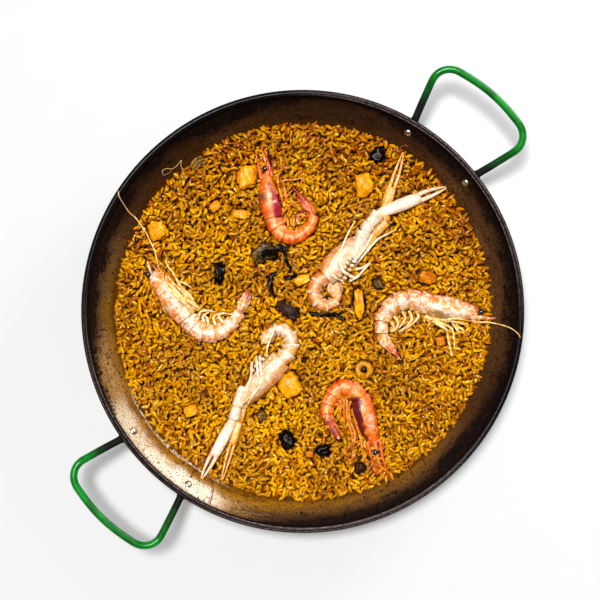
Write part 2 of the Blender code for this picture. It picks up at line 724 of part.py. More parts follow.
def make_chunk(name, place, sizes, turn, colour, rng, parts, serving):
    """A cut block with softened, uneven corners, part sunk in the rice."""
    bm = bmesh.new()
    length, width, height = sizes
    solid_height = height * MM * CHUNK_SHOWS + CHUNK_SINK
    bmesh.ops.create_cube(bm, size=1.0)
    bmesh.ops.scale(bm, vec=(length * MM, width * MM, solid_height), verts=bm.verts)
    bmesh.ops.bevel(bm, geom=bm.edges, offset=solid_height * CHUNK_SOFTNESS, segments=1, profile=0.5,
                    affect="EDGES", material=-1)
    for vert in bm.verts:
        vert.co += Vector([rng.uniform(-CHUNK_JITTER, CHUNK_JITTER) for _ in range(3)])
    chunk = new_object(name, mesh_from(bm, name), parts, serving)
    chunk.location = (place[0] * MM, place[1] * MM, RICE_LEVEL - CHUNK_SINK + solid_height / 2)
    chunk.rotation_euler = (0.0, 0.0, math.radians(turn))
    chunk.data.materials.append(finish(colour))


def make_strip(name, start, links, half_width, parts, serving):
    path = walk(start, links)
    points = [(point.x, point.y, RICE_LEVEL + STRIP_RISE) for point in path]
    middle = len(path) - 2
    radii = [half_width * MM * size for size in (STRIP_TAPER, *[1.0] * middle, STRIP_TAPER)]
    strip = new_object(name, tapered_wire(points, radii), parts, serving)
    strip.data.materials.append(finish("dark"))


def make_ring(parts, serving):
    """A slice of squid tube, lying flat."""
    bpy.ops.mesh.primitive_torus_add(major_segments=12, minor_segments=5, major_radius=RING_RADIUS,
                                     minor_radius=RING_THICKNESS)
    made = bpy.context.active_object
    ring = new_object("squid_ring", made.data.copy(), parts, serving)
    bpy.data.objects.remove(made)
    ring.location = (RING_CENTRE[0] * MM, RING_CENTRE[1] * MM, RICE_LEVEL)
    ring.data.materials.append(finish("orange"))


def make_mussel(parts, serving):
    """Half a mussel shell, open side up, with the meat lying in it."""
    bm = bmesh.new()
    bmesh.ops.create_uvsphere(bm, u_segments=10, v_segments=6, radius=1.0)
    bmesh.ops.bisect_plane(bm, geom=[*bm.verts, *bm.edges, *bm.faces], dist=0.00001,
                           plane_co=(0, 0, 0), plane_no=(0, 0, 1), clear_outer=True)
    bmesh.ops.scale(bm, vec=SHELL_HALF, verts=bm.verts)
    mesh = mesh_from(bm, "mussel_shell")
    shell = new_object("mussel_shell", mesh, parts, serving)
    rim = RICE_LEVEL + SHELL_RISE
    shell.location = (SHELL_CENTRE[0] * MM, SHELL_CENTRE[1] * MM, rim)
    shell.rotation_euler = (0.0, 0.0, SHELL_BEARING)
    wall = shell.modifiers.new("Thickness", "SOLIDIFY")
    wall.thickness = SHELL_THICKNESS
    wall.offset = -1.0
    shell.data.materials.append(finish("dark"))
    centre = (SHELL_CENTRE[0] * MM, SHELL_CENTRE[1] * MM, rim)
    meat = new_object("mussel_meat", ball(centre, MEAT_HALF, SHELL_BEARING), parts, serving)
    meat.data.materials.append(finish("golden"))


# ---- rice ----

def toppings_tree(parts):
    """All toppings in one search tree, in world space."""
    verts = []
    faces = []
    graph = bpy.context.evaluated_depsgraph_get()
    for shape in parts.objects:
        if shape.parent is None:
            continue
        mesh = shape.evaluated_get(graph).to_mesh()
        base = len(verts)
        verts.extend(shape.matrix_world @ vert.co for vert in mesh.vertices)
        mesh.calc_loop_triangles()
        faces.extend([base + index for index in triangle.vertices] for triangle in mesh.loop_triangles)
    return BVHTree.FromPolygons(verts, faces)


def room_above(tree, x, y):
    """The height of the lowest topping over a place, or a height above everything."""
    hit = tree.ray_cast(Vector((x, y, 0.0)), Vector((0.0, 0.0, 1.0)), 0.2)[0]
    return hit.z if hit else 1.0


def edge_point(side, height):
    """A point of the rice's edge, a gap inside one of the wall's corners."""
    radius = wall_point(height, GAP).x
    angle = 2 * math.pi * side / PAN_SIDES
    return Vector((radius * math.cos(angle), radius * math.sin(angle), height))


def rice_points(rng):
    """Top points: a round edge on the wall, then a ridge and a dip in every cell."""
    points = []
    for side in range(PAN_SIDES):
        points.append(edge_point(side, RICE_LEVEL - EDGE_DROP + rng.uniform(-EDGE_WAVE, EDGE_WAVE)))
    limit = wall_point(RICE_LEVEL, 0.0).x - RICE_MARGIN
    cells = int(limit / RICE_CELL) + 1
    for row in range(-cells, cells + 1):
        for column in range(-cells, cells + 1):
            middle = Vector((column + 0.5 * (row % 2), row)) * RICE_CELL
            middle += Vector((rng.uniform(-1, 1), rng.uniform(-1, 1))) * RIDGE_WANDER
            waves = math.sin(middle.x * SWELL_WAVES[0] + 1.0) * math.sin(middle.y * SWELL_WAVES[1])
            swell = RICE_SWELL * waves
            along = heading(rng.uniform(0, 180)) * RIDGE_HALF_LENGTH
            rise = RIDGE_RISE * rng.uniform(0.5, 1.1)
            dip = middle + Vector((0.5, 0.5)) * RICE_CELL
            for place, lift in ((middle + along, rise), (middle - along, rise),
                                (dip, -DIP_DEPTH * rng.uniform(0.4, 1.2))):
                if place.length < limit:
                    points.append(Vector((place.x, place.y, RICE_LEVEL + swell + lift)))
    return points


def settle(points, faces, tree):
    """Lowers the rice wherever a facet would reach a topping, so that it drapes under what lies on it."""
    steps = SETTLE_STEPS
    shares = [(one / steps, two / steps, (steps - one - two) / steps)
              for one in range(steps + 1) for two in range(steps + 1 - one)]
    for face in faces:
        corners = [points[index] for index in face]
        room = 1.0
        for weights in shares:
            place = sum((corner * weight for corner, weight in zip(corners, weights)), Vector())
            room = min(room, room_above(tree, place.x, place.y))
        for corner in corners:
            corner.z = min(corner.z, room - SETTLE_GAP)
    for side in range(PAN_SIDES):
        points[side] = edge_point(side, points[side].z)


def make_rice(parts):
    tree = toppings_tree(parts)
    rng = random.Random(RICE_SEED)
    points = rice_points(rng)
    flat = [Vector((point.x, point.y)) for point in points]
    edges = [(side, (side + 1) % PAN_SIDES) for side in range(PAN_SIDES)]
    _, _, faces, _, _, _ = geometry.delaunay_2d_cdt(flat, edges, [], 1, 0.000001)
    settle(points, faces, tree)
    bm = bmesh.new()
    top = [bm.verts.new(point) for point in points]
    for face in faces:
        bm.faces.new([top[index] for index in face])
    upper = top[:PAN_SIDES]
    for point in reversed(corner_arc(CORNER_RADIUS - GAP)):
        lower = []
        for side in range(PAN_SIDES):
            angle = 2 * math.pi * side / PAN_SIDES
            lower.append(bm.verts.new((point.x * math.cos(angle), point.x * math.sin(angle), point.y)))
        for side in range(PAN_SIDES):
            after = (side + 1) % PAN_SIDES
            bm.faces.new((upper[side], upper[after], lower[after], lower[side]))
        upper = lower
    bm.faces.new(upper)
    rice = new_object("rice", mesh_from(bm, "rice"), parts)
    rice.data.materials.append(finish("rice"))


def main():
    clear_scene()
    parts = new_collection("pan_of_seafood_rice")
    cutters = new_collection("cutters")
    for place, frame in rivet_frames().items():
        hole_cutter("hole_" + place, frame, cutters)
    make_pan(parts, cutters)
    make_rivets(parts)
    make_handle("handle_right", "right", parts, cutters)
    make_handle("handle_left", "left", parts, cutters)
    serving = bpy.data.objects.new("serving", None)
    parts.objects.link(serving)
    serving.rotation_euler = (0.0, 0.0, SERVING_TURN)
    for name, prawn in PRAWNS.items():
        make_prawn(name, prawn, parts, serving, "red_shell" if "red" in name else "pale_shell")
    for name, animal in LANGOUSTINES.items():
        make_langoustine(name, animal, parts, serving)
    rng = random.Random(RICE_SEED)
    for name, (place, sizes, turn, colour) in CHUNKS.items():
        make_chunk(name, place, sizes, turn, colour, rng, parts, serving)
    for name, (start, links, half_width) in STRIPS.items():
        make_strip(name, start, links, half_width, parts, serving)
    make_ring(parts, serving)
    make_mussel(parts, serving)
    bpy.context.view_layer.update()
    make_rice(parts)


main()
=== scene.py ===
"""A round steel pan of seafood rice: the finish of every surface, round the built model.

Metres, +Z up, +X along the handles' line, the origin under the middle of the pan. The food's
places are in millimetres on axes turned from the handles' line by SERVING_TURN, and its
bearings are degrees on those axes.
"""

import math

import bmesh
import bpy
import numpy as np
from mathutils import Matrix, Vector, noise
from mathutils.bvhtree import BVHTree


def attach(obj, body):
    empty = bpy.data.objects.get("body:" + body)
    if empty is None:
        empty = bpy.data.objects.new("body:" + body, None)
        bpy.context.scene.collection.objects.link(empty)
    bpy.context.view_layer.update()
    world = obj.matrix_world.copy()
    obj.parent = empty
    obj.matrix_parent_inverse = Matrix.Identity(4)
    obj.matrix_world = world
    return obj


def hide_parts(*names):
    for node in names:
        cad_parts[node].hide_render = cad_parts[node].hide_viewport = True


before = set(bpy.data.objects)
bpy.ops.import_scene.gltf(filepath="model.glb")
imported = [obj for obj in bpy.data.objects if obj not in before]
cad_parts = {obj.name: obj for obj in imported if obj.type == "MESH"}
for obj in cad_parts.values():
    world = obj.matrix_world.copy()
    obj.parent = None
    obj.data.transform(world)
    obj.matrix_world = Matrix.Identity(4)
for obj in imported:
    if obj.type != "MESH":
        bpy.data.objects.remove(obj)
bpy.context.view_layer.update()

# ---------------------------------------------------------------------------
# The pan: one sheet of carbon steel, pressed to a flat floor and a sloping wall,
# its edge rolled outwards into a round lip. Oil baked on it has turned it dark,
# and where it is scoured, on one side, the bare steel shows through with rust,
# lightened there by a painted sheen. The lip has painted highlights, and the line
# of dried oil at the rice's edge is painted near white as a glint.
# ---------------------------------------------------------------------------

MM = 0.001
SERVING_TURN = math.radians(-47.4)
RIM_RADIUS = 0.210
PAN_HEIGHT = 0.046
SHEET = 0.0015
LIP_RADIUS = 0.0032
WALL_ANGLE = math.radians(47)
CORNER_RADIUS = 0.008
PAN_STEPS = 180
LIP_STEPS = 22
WALL_RINGS = 14
FLOOR_RINGS = 8
CORNER_STEPS = 7
WELD = 0.000002
SLOPE = Vector((math.cos(WALL_ANGLE), math.sin(WALL_ANGLE)))
OUTWARD = Vector((math.sin(WALL_ANGLE), -math.cos(WALL_ANGLE)))
LIP_CENTRE = Vector((RIM_RADIUS - LIP_RADIUS, PAN_HEIGHT - LIP_RADIUS))


def rgb(red, green, blue):
    """A colour as it is seen, 0 to 255, as the share of light that it returns."""
    return Vector([((value / 255 + 0.055) / 1.055) ** 2.4 for value in (red, green, blue)])


DARK_STEEL = rgb(24, 13, 7)
BROWN_STEEL = rgb(76, 45, 23)
LIGHT_STEEL = rgb(112, 78, 44)
GOLD_STEEL = rgb(176, 132, 76)
# scoured and bare steel, both lightened by a painted sheen
SCOURED_SHEEN_STEEL = rgb(190, 162, 124)
BARE_SHEEN_STEEL = rgb(250, 236, 212)
BURNT_STEEL = rgb(11, 6, 6)
LIP_STEEL = rgb(14, 11, 12)
# a painted highlight, for thin pale lines round the lip
LIP_HIGHLIGHT = rgb(158, 132, 122)
# a line of dried oil, painted near white as a glint of light on it
DRIED_OIL_AND_GLINT = rgb(246, 226, 204)
OIL = rgb(190, 128, 16)
DEEP_OIL = rgb(90, 54, 8)
RUST = rgb(96, 50, 18)
SAUCE = rgb(74, 40, 4)


class Socket:
    """The output of a material's node, so that sums on it read as plain sums."""

    def __init__(self, finish, output):
        self.finish = finish
        self.output = output

    def sum(self, operation, *values):
        inputs = dict(enumerate(values))
        return self.finish.node("Math", {"operation": operation}, inputs)

    def __add__(self, other):
        return self.sum("ADD", self, other)

    def __sub__(self, other):
        return self.sum("SUBTRACT", self, other)

    def __mul__(self, other):
        return self.sum("MULTIPLY", self, other)

    def __truediv__(self, other):
        return self.sum("DIVIDE", self, other)

    def __pow__(self, other):
        return self.sum("POWER", self, other)

    def __rsub__(self, other):
        return self.sum("SUBTRACT", other, self)

    __radd__ = __add__
    __rmul__ = __mul__

    def between(self, low, high):
        """0 below low, 1 above high, and a smooth rise between them."""
        settings = {"interpolation_type": "SMOOTHSTEP"}
        return self.finish.node("MapRange", settings, {0: self, 1: low, 2: high})


class Finish:
    """A material whose nodes are added by one method each, fed with numbers or sockets."""

    def __init__(self, name, roughness=0.4, metallic=0.0, **constants):
        self.material = bpy.data.materials.new(name)
        self.material.use_nodes = True
        self.tree = self.material.node_tree
        self.shader = self.tree.nodes["Principled BSDF"]
        self.shader.inputs["Roughness"].default_value = roughness
        self.shader.inputs["Metallic"].default_value = metallic
        for label, value in constants.items():
            self.shader.inputs[label.replace("_", " ")].default_value = value

    def node(self, kind, settings=None, inputs=None, output=0):
        made = self.tree.nodes.new("ShaderNode" + kind)
        for key, value in (settings or {}).items():
            setattr(made, key, value)
        for key, value in (inputs or {}).items():
            self.feed(made.inputs[key], value)
        return Socket(self, made.outputs[output])

    def feed(self, entry, value):
        if isinstance(value, Socket):
            self.tree.links.new(value.output, entry)
        else:
            entry.default_value = value

    def place(self):
        return self.node("TexCoord", output=3)

    def split(self, vector):
        made = self.tree.nodes.new("ShaderNodeSeparateXYZ")
        self.feed(made.inputs[0], vector)
        return [Socket(self, output) for output in made.outputs]

    def tag(self, name):
        return self.node("Attribute", {"attribute_name": name})

    def mottle(self, scale, detail=3.0, roughness=0.55, stretch=None):
        """Soft noise between 0 and 1, on the object's own place."""
        where = self.place()
        if stretch:
            where = self.node("Mapping", {}, {0: where, 3: stretch})
        inputs = {"Vector": where, "Scale": scale, "Detail": detail, "Roughness": roughness}
        return self.node("TexNoise", {}, inputs)

    def mix(self, share, first, second, blend="MIX"):
        settings = {"data_type": "RGBA", "blend_type": blend, "clamp_factor": True}
        first = first if isinstance(first, Socket) else (*first, 1.0)
        second = second if isinstance(second, Socket) else (*second, 1.0)
        return self.node("Mix", settings, {0: share, 6: first, 7: second}, output=2)

    def bump(self, height, distance, strength):
        return self.node("Bump", {}, {"Height": height, "Distance": distance, "Strength": strength})

    def set(self, **links):
        for label, value in links.items():
            self.feed(self.shader.inputs[label.replace("_", " ")], value)
        return self.material


def corner_centre():
    """The centre, as (radius, height), of the bend between the floor and the wall."""
    height = SHEET + CORNER_RADIUS
    middle = CORNER_RADIUS + SHEET / 2
    length = (LIP_CENTRE.y - height - middle * OUTWARD.y) / SLOPE.y
    return Vector((LIP_CENTRE.x - middle * OUTWARD.x - length * SLOPE.x, height))


def wall_point(height, inset=0.0):
    """The point of the inner wall at a height, kept inside the steel by an inset."""
    foot = corner_centre() + OUTWARD * (CORNER_RADIUS - inset)
    return foot + SLOPE * ((height - foot.y) / SLOPE.y)


def arc(centre, radius, first, sweep, steps):
    """Points round a centre, as (radius, height)."""
    angles = [first + sweep * step / steps for step in range(steps + 1)]
    return [centre + Vector((math.cos(angle), math.sin(angle))) * radius for angle in angles]


def runs(near, far, count):
    """Points evenly between two ends, without the ends."""
    return [near.lerp(far, step / count) for step in range(1, count)]


def spun(bm, profile, steps):
    """Turns a profile of (radius, height) points about +Z into a closed skin."""
    verts = [bm.verts.new((point[0], 0.0, point[1])) for point in profile]
    edges = [bm.edges.new(pair) for pair in zip(verts, verts[1:])]
    bmesh.ops.spin(bm, geom=[*verts, *edges], cent=(0, 0, 0), axis=(0, 0, 1), dvec=(0, 0, 0),
                   angle=2 * math.pi, steps=steps, use_merge=True)
    bmesh.ops.remove_doubles(bm, verts=bm.verts, dist=WELD)
    bmesh.ops.recalc_face_normals(bm, faces=bm.faces)


def set_out(name, data):
    """An object of the scene, from its mesh, its lamp or its lens."""
    made = bpy.data.objects.new(name, data)
    bpy.context.scene.collection.objects.link(made)
    return made


def piece(name, bm, material, slot, *nodes):
    """A finished piece from a bmesh: smooth, riding on the body, standing for its nodes."""
    mesh = bpy.data.meshes.new(name)
    bm.to_mesh(mesh)
    bm.free()
    mesh.shade_smooth()
    mesh.materials.append(material)
    made = set_out(name, mesh)
    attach(made, "root")
    if nodes:
        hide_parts(*nodes)
    return made


def pan_steel():
    """Brown steel, scoured and painted with a sheen on one side, burnt above, oily below, wet at the rice,
    with painted highlights.
    """
    finish = Finish("seasoned steel", Specular_IOR_Level=0.06, Coat_Roughness=0.10)
    x, y, z = finish.split(finish.place())
    radius = (x * x + y * y) ** 0.5

    def toward(bearing, low, high):
        """1 on the side of the pan at a bearing of the food's axes, and 0 away from it."""
        turn = math.radians(bearing) + SERVING_TURN
        return ((x * math.cos(turn) + y * math.sin(turn)) / radius).between(low, high)

    rise = z / PAN_HEIGHT
    cloud = finish.mottle(17.0, 5.0, 0.62).between(0.36, 0.64)
    streaks = finish.mottle(30.0, 6.0, 0.75, stretch=(1.0, 1.0, 7.0)).between(0.38, 0.62)
    grit = finish.mottle(330.0, 5.0, 0.75).between(0.38, 0.62)
    specks = finish.mottle(520.0, 2.0, 0.5)
    spots = finish.mottle(130.0, 2.0, 0.5)
    uneven = (cloud - 0.5) * 0.30 + (streaks - 0.5) * 0.16 + (grit - 0.5) * 0.16

    colour = finish.mix(streaks * 0.45 + cloud * 0.30 + grit * 0.35, DARK_STEEL, BROWN_STEEL)
    lit = toward(270, 0.30, 0.95) * 0.55 + toward(172, 0.93, 0.995) * 0.8 + toward(8, 0.80, 0.99) * 0.35
    colour = finish.mix(lit * (streaks * 0.5 + cloud * 0.3 + grit * 0.55), colour, LIGHT_STEEL)

    gilded = (toward(224, 0.62, 0.97) + uneven * 1.6).between(0.25, 1.05) * rise.between(0.20, 0.34)
    steel = finish.mix(streaks * 0.5 + grit * 0.6, LIGHT_STEEL, GOLD_STEEL)
    colour = finish.mix(gilded * 0.95, colour, steel)
    # Painted sheen: on the side at 227 the scoured wall is lightened towards white, most near the lip,
    # standing for light on that side; the scouring and its rust are the steel's own.
    bright = toward(227, 0.90, 1.0)
    scoured_and_sheen = bright * ((rise + 0.04).between(0.34, 0.96) + uneven * 1.3).between(0.05, 0.70)
    near_lip = toward(238, 0.93, 1.0) * (rise + uneven).between(0.45, 0.75)
    whitened_by_sheen = scoured_and_sheen.between(0.15, 0.75) * (0.50 + near_lip * 0.50)
    bare = finish.mix(whitened_by_sheen, SCOURED_SHEEN_STEEL, BARE_SHEEN_STEEL)
    colour = finish.mix(scoured_and_sheen.between(0.02, 0.45), colour, finish.mix(grit * 0.35, bare, GOLD_STEEL))

    oily_side = 0.04 + toward(218, 0.45, 0.9) * 0.60 + toward(262, 0.3, 0.9) * 0.40
    oily = (1.0 - (rise + uneven * 0.34).between(0.46, 0.66)) * oily_side
    colour = finish.mix(oily, colour, finish.mix(streaks * 0.6 + grit * 0.4, OIL, DEEP_OIL))
    edge = rise + uneven * 0.62 + toward(275, 0.60, 1.0) * 0.05
    edge = edge - toward(55, 0.50, 0.95) * 0.08 - toward(226, 0.70, 1.0) * 0.26
    burnt = edge.between(0.63, 0.76)
    colour = finish.mix(burnt * (0.92 + grit * 0.08), colour, BURNT_STEEL)
    rust = specks.between(0.60, 0.66) * (0.20 + scoured_and_sheen * 0.7)
    colour = finish.mix(rust, colour, RUST)
    pits = (1.0 - specks.between(0.36, 0.42)) * 0.7 + (1.0 - spots.between(0.30, 0.34)) * 0.6
    colour = finish.mix(pits, colour, BURNT_STEEL)

    wet = 1.0 - (rise + uneven * 0.12).between(0.39, 0.44)
    colour = finish.mix(wet * 0.7, colour, SAUCE)
    # A line of dried oil round the rice's edge on the side at 226, painted near white as a glint of light on
    # it.
    tide = rise + uneven * 0.20
    dried_and_glint = tide.between(0.392, 0.406) * (1.0 - tide.between(0.414, 0.434)) * toward(226, 0.90, 0.98)
    colour = finish.mix(dried_and_glint * (grit + cloud * 0.6).between(0.25, 0.85), colour, DRIED_OIL_AND_GLINT)

    lip = rise.between(0.885, 0.91)
    # Painted highlights: two thin pale lines round the lip, stronger on the sides at 250 and 45, stand for
    # light caught on the rolled edge.
    across = (radius - LIP_CENTRE.x) * 1000.0
    inner_line = across.between(-2.2, -1.8) * (1.0 - across.between(-1.4, -1.0))
    outer_line = across.between(0.7, 1.0) * (1.0 - across.between(1.3, 1.7))
    highlight_side = toward(250, 0.10, 0.80) + toward(45, 0.60, 0.95)
    lip_highlight = (inner_line + outer_line) * highlight_side * (0.2 + grit * 0.8)
    colour = finish.mix(lip, colour, finish.mix(lip_highlight * 0.62, LIP_STEEL, LIP_HIGHLIGHT))
    metallic = 0.20 + scoured_and_sheen * 0.50 - wet * 0.2 - burnt * 0.15
    rough = 0.52 + grit * 0.12 - lip * 0.40 - wet * 0.2
    shape = finish.bump((grit * 0.6 + specks * 0.4) * (1.0 - lip * 0.8), 0.00025, 0.5)
    return finish.set(Base_Color=colour, Roughness=rough, Metallic=metallic, Normal=shape,
                      Coat_Weight=wet * 0.3 + oily * 0.15)


bm = bmesh.new()
bend = corner_centre()
half_gap = math.asin(SHEET / 2 / LIP_RADIUS)
inner_bend = arc(bend, CORNER_RADIUS, -math.pi / 2, WALL_ANGLE, CORNER_STEPS)
outer_bend = arc(bend, CORNER_RADIUS + SHEET, -math.pi / 2 + WALL_ANGLE, -WALL_ANGLE, CORNER_STEPS)
lip = arc(LIP_CENTRE, LIP_RADIUS, math.pi + WALL_ANGLE - half_gap, 2 * half_gap - 2 * math.pi, LIP_STEPS)
floor_middle = Vector((0.0, SHEET))
under_middle = Vector((0.0, 0.0))
spun(bm, [
    floor_middle, *runs(floor_middle, inner_bend[0], FLOOR_RINGS), *inner_bend,
    *runs(inner_bend[-1], lip[0], WALL_RINGS), *lip, *runs(lip[-1], outer_bend[0], WALL_RINGS),
    *outer_bend, *runs(outer_bend[-1], under_middle, FLOOR_RINGS), under_middle], PAN_STEPS)
piece("pan_shell", bm, pan_steel(), "pan_steel", "pan")

# ---------------------------------------------------------------------------
# The handles: one steel wire each, bent to a grip, its ends flattened to paddles
# that lie on the outside of the wall. They are dipped in green enamel, which the
# burner has blackened near the pan.
# ---------------------------------------------------------------------------

GAP = 0.0003
WIRE_RADIUS = 0.0036
WIRE_SIDES = 20
WIRE_STEP = 0.0020
WIRE_ROUNDING = 7
RIVET_HALF_ANGLE = math.radians(10.6)
RIVET_HEIGHT = 0.0341
HANDLE_SKEW = math.radians(1.5)
PADDLE_HALF = (0.0066, 0.0014)
PADDLE_LENGTH = 0.0120
PADDLE_NECK = 0.0090
PADDLE_BELOW_RIVET = 0.0066
PADDLE_ABOVE_RIVET = 0.0048
PADDLE_TIP = (0.0015, 0.0060)
LEG_OUT = 0.2090
LEG_HALF_SPREAD = 0.0397
LEG_HEIGHT = 0.0353
SHOULDER = (0.0100, 0.0035, 0.0028)
GRIP_HALF_SPREAD = 0.0526
GRIP_OUT = 0.2716
GRIP_BOW = 0.0038
GRIP_HEIGHT = 0.0500
GRIP_SAG = 0.0020
GRIP_CORNER = 0.0188
GRIP_CORNER_STEPS = 8
GRIP_STEPS = 7


def smooth(value):
    """0 below 0, 1 above 1, and a smooth rise between them."""
    value = min(max(value, 0.0), 1.0)
    return value * value * (3 - 2 * value)


def smooth_path(points, per_link):
    """A path that runs smoothly through its points, with more of them."""
    ends = [points[0] * 2 - points[1], *points, points[-1] * 2 - points[-2]]
    path = []
    for first, near, far, last in zip(ends, ends[1:], ends[2:], ends[3:]):
        for step in range(per_link):
            share = step / per_link
            pull = (far - first) * share + (first * 2 - near * 5 + far * 4 - last) * share ** 2
            path.append(near + (pull + (near * 3 - first - far * 3 + last) * share ** 3) / 2)
    path.append(points[-1].copy())
    return path


def headings(path):
    """The direction of a path at each of its points."""
    last = len(path) - 1
    return [(path[min(i + 1, last)] - path[max(i - 1, 0)]).normalized() for i in range(last + 1)]


def along(path):
    """Each point of a path, with its share of the way before it and the path's direction after it."""
    last = len(path) - 1
    return [(i / last, point, ahead) for i, (point, ahead) in enumerate(zip(path, headings(path)))]


def ring_frame(point, ahead, width, height, up=Vector((0, 0, 1))):
    """The frame of a ring: X to its left and Y up, both in its half sizes, and Z ahead."""
    across = up.cross(ahead).normalized()
    above = ahead.cross(across)
    axes = Matrix((across * width, above * height, ahead)).transposed().to_4x4()
    return Matrix.Translation(point) @ axes


def sweep(bm, frames, sides, caps=True):
    """Draws a ring out along its frames into a closed skin, and gives the rings."""
    circle = bmesh.ops.create_circle(bm, cap_ends=False, segments=sides, radius=1.0, matrix=frames[0])
    ring = circle["verts"]
    edges = list({edge for vert in ring for edge in vert.link_edges})
    rings = [ring]
    first_edges = edges
    for before, after in zip(frames, frames[1:]):
        drawn = bmesh.ops.extrude_edge_only(bm, edges=edges)["geom"]
        ring = [item for item in drawn if isinstance(item, bmesh.types.BMVert)]
        own = set(ring)
        edges = [item for item in drawn if isinstance(item, bmesh.types.BMEdge)
                 and item.verts[0] in own and item.verts[1] in own]
        bmesh.ops.transform(bm, matrix=after @ before.inverted(), verts=ring)
        rings.append(ring)
    if caps:
        bmesh.ops.edgeloop_fill(bm, edges=first_edges)
        bmesh.ops.edgeloop_fill(bm, edges=edges)
    return rings


def green_enamel():
    """Bright green out at the grip, black with soot towards the pan, with a few chips."""
    finish = Finish("green enamel", Specular_IOR_Level=0.1, Coat_Roughness=0.05)
    along_handles = finish.split(finish.place())[0]
    out = finish.node("Math", {"operation": "ABSOLUTE"}, {0: along_handles})
    cloud = finish.mottle(60.0, 3.0)
    fine = finish.mottle(500.0, 3.0)
    soot = 1.0 - (out + cloud * 0.014).between(0.224, 0.258)
    green = finish.mix(cloud.between(0.35, 0.65), (0.0, 0.090, 0.004), (0.0, 0.200, 0.010))
    colour = finish.mix(soot, green, (0.004, 0.005, 0.003))
    chips = fine.between(0.68, 0.74) * cloud.between(0.5, 0.7)
    colour = finish.mix(chips * 0.8, colour, (0.01, 0.02, 0.01))
    shape = finish.bump(cloud + fine * 0.15, 0.0004, 0.35)
    return finish.set(Base_Color=colour, Roughness=0.30 + soot * 0.25 + fine * 0.08, Normal=shape,
                      Coat_Weight=0.28 - soot * 0.24)


def evenly(points, step):
    """Points at even steps along a path of straight links, its two ends kept."""
    lengths = [0.0]
    for near, far in zip(points, points[1:]):
        lengths.append(lengths[-1] + (far - near).length)
    count = round(lengths[-1] / step)
    spaced = []
    link = 0
    for index in range(count + 1):
        at = lengths[-1] * index / count
        while link < len(points) - 2 and lengths[link + 1] < at:
            link += 1
        share = (at - lengths[link]) / (lengths[link + 1] - lengths[link])
        spaced.append(points[link].lerp(points[link + 1], share))
    return spaced


def handle_frames(end):
    """The wire from one paddle out under the lip, round the grip and back to the other."""
    foot = wall_point(RIVET_HEIGHT) + OUTWARD * SHEET
    turn = Matrix.Rotation(RIVET_HALF_ANGLE, 3, "Z")
    up_wall = turn @ Vector((SLOPE.x, 0.0, SLOPE.y))
    out_of_wall = turn @ Vector((OUTWARD.x, 0.0, OUTWARD.y))
    rivet = turn @ Vector((foot.x, 0.0, foot.y))
    bed = GAP + PADDLE_HALF[1]
    corner = Vector((GRIP_OUT - GRIP_BOW - GRIP_CORNER, GRIP_HALF_SPREAD - GRIP_CORNER))
    leg = Vector((LEG_OUT, LEG_HALF_SPREAD, LEG_HEIGHT))
    half = [rivet - up_wall * PADDLE_BELOW_RIVET + out_of_wall * bed, rivet + out_of_wall * bed,
            rivet + up_wall * PADDLE_ABOVE_RIVET + out_of_wall * (WIRE_RADIUS + GAP),
            leg, leg + Vector(SHOULDER)]
    for index in range(GRIP_CORNER_STEPS + 1):
        angle = math.pi / 2 * index / GRIP_CORNER_STEPS
        half.append(Vector((corner.x + GRIP_CORNER * math.sin(angle),
                            corner.y + GRIP_CORNER * math.cos(angle),
                            GRIP_HEIGHT - GRIP_SAG * (1 - math.sin(angle)))))
    for index in range(1, GRIP_STEPS):
        aside = half[-1].y * (1 - index / GRIP_STEPS)
        bow = GRIP_BOW * (1 - (aside / corner.y) ** 2) if aside < corner.y else 0.0
        half.append(Vector((GRIP_OUT - GRIP_BOW + bow, aside, GRIP_HEIGHT)))
    points = [*half, Vector((GRIP_OUT, 0.0, GRIP_HEIGHT))]
    points += [Vector((x, -y, z)) for x, y, z in reversed(half)]
    path = evenly(points, WIRE_STEP)
    for _ in range(WIRE_ROUNDING):
        between = [(near + at * 2 + far) / 4 for near, at, far in zip(path, path[1:], path[2:])]
        path = [path[0], *between, path[-1]]
    skew = Matrix.Rotation(HANDLE_SKEW, 3, "Z")
    path = [Vector((x * end, y, z)) for x, y, z in (skew @ point for point in path)]
    frames = []
    for index, (point, ahead) in enumerate(zip(path, headings(path))):
        from_end = min(index, len(path) - 1 - index) * WIRE_STEP
        flat = 1 - smooth((from_end - PADDLE_LENGTH) / PADDLE_NECK)
        tip = math.sqrt(min((from_end + PADDLE_TIP[0]) / PADDLE_TIP[1], 1.0))
        wobble = 1 + 0.02 * noise.noise(point * 90)
        width, height = (half * flat + WIRE_RADIUS * (1 - flat) for half in PADDLE_HALF)
        frames.append(ring_frame(point, ahead, width * tip * wobble, height))
    return frames


enamel = green_enamel()
for name, end in (("right", 1.0), ("left", -1.0)):
    bm = bmesh.new()
    sweep(bm, handle_frames(end), WIRE_SIDES)
    bmesh.ops.recalc_face_normals(bm, faces=bm.faces)
    piece("wire_handle_" + name, bm, enamel, "green_enamel", "handle_" + name)

# ---------------------------------------------------------------------------
# The rivets: four solid rivets with low domed heads, through the wall and the
# paddles, bright where the rest of the pan has gone dark.
# ---------------------------------------------------------------------------

SHANK_RADIUS = 0.0024
HEAD_RADIUS = 0.0038
HEAD_RISE = 0.0019
PADDLE_THICKNESS = 0.003
DOME_STEPS = 7
RIVET_STEPS = 28
OUTSIDE = PADDLE_THICKNESS + 2 * GAP
INSIDE = -SHEET - GAP
CLEAN_METAL = (0.74, 0.66, 0.50)
GRIME = (0.20, 0.13, 0.07)


def rivet_steel():
    finish = Finish("rivet steel", metallic=1.0)
    fine = finish.mottle(900.0, 3.0)
    grime = finish.mottle(300.0, 2.0).between(0.52, 0.68)
    colour = finish.mix(grime * 0.6, CLEAN_METAL, GRIME)
    return finish.set(Base_Color=colour, Roughness=0.22 + fine * 0.2, Normal=finish.bump(fine, 0.0002, 0.3))


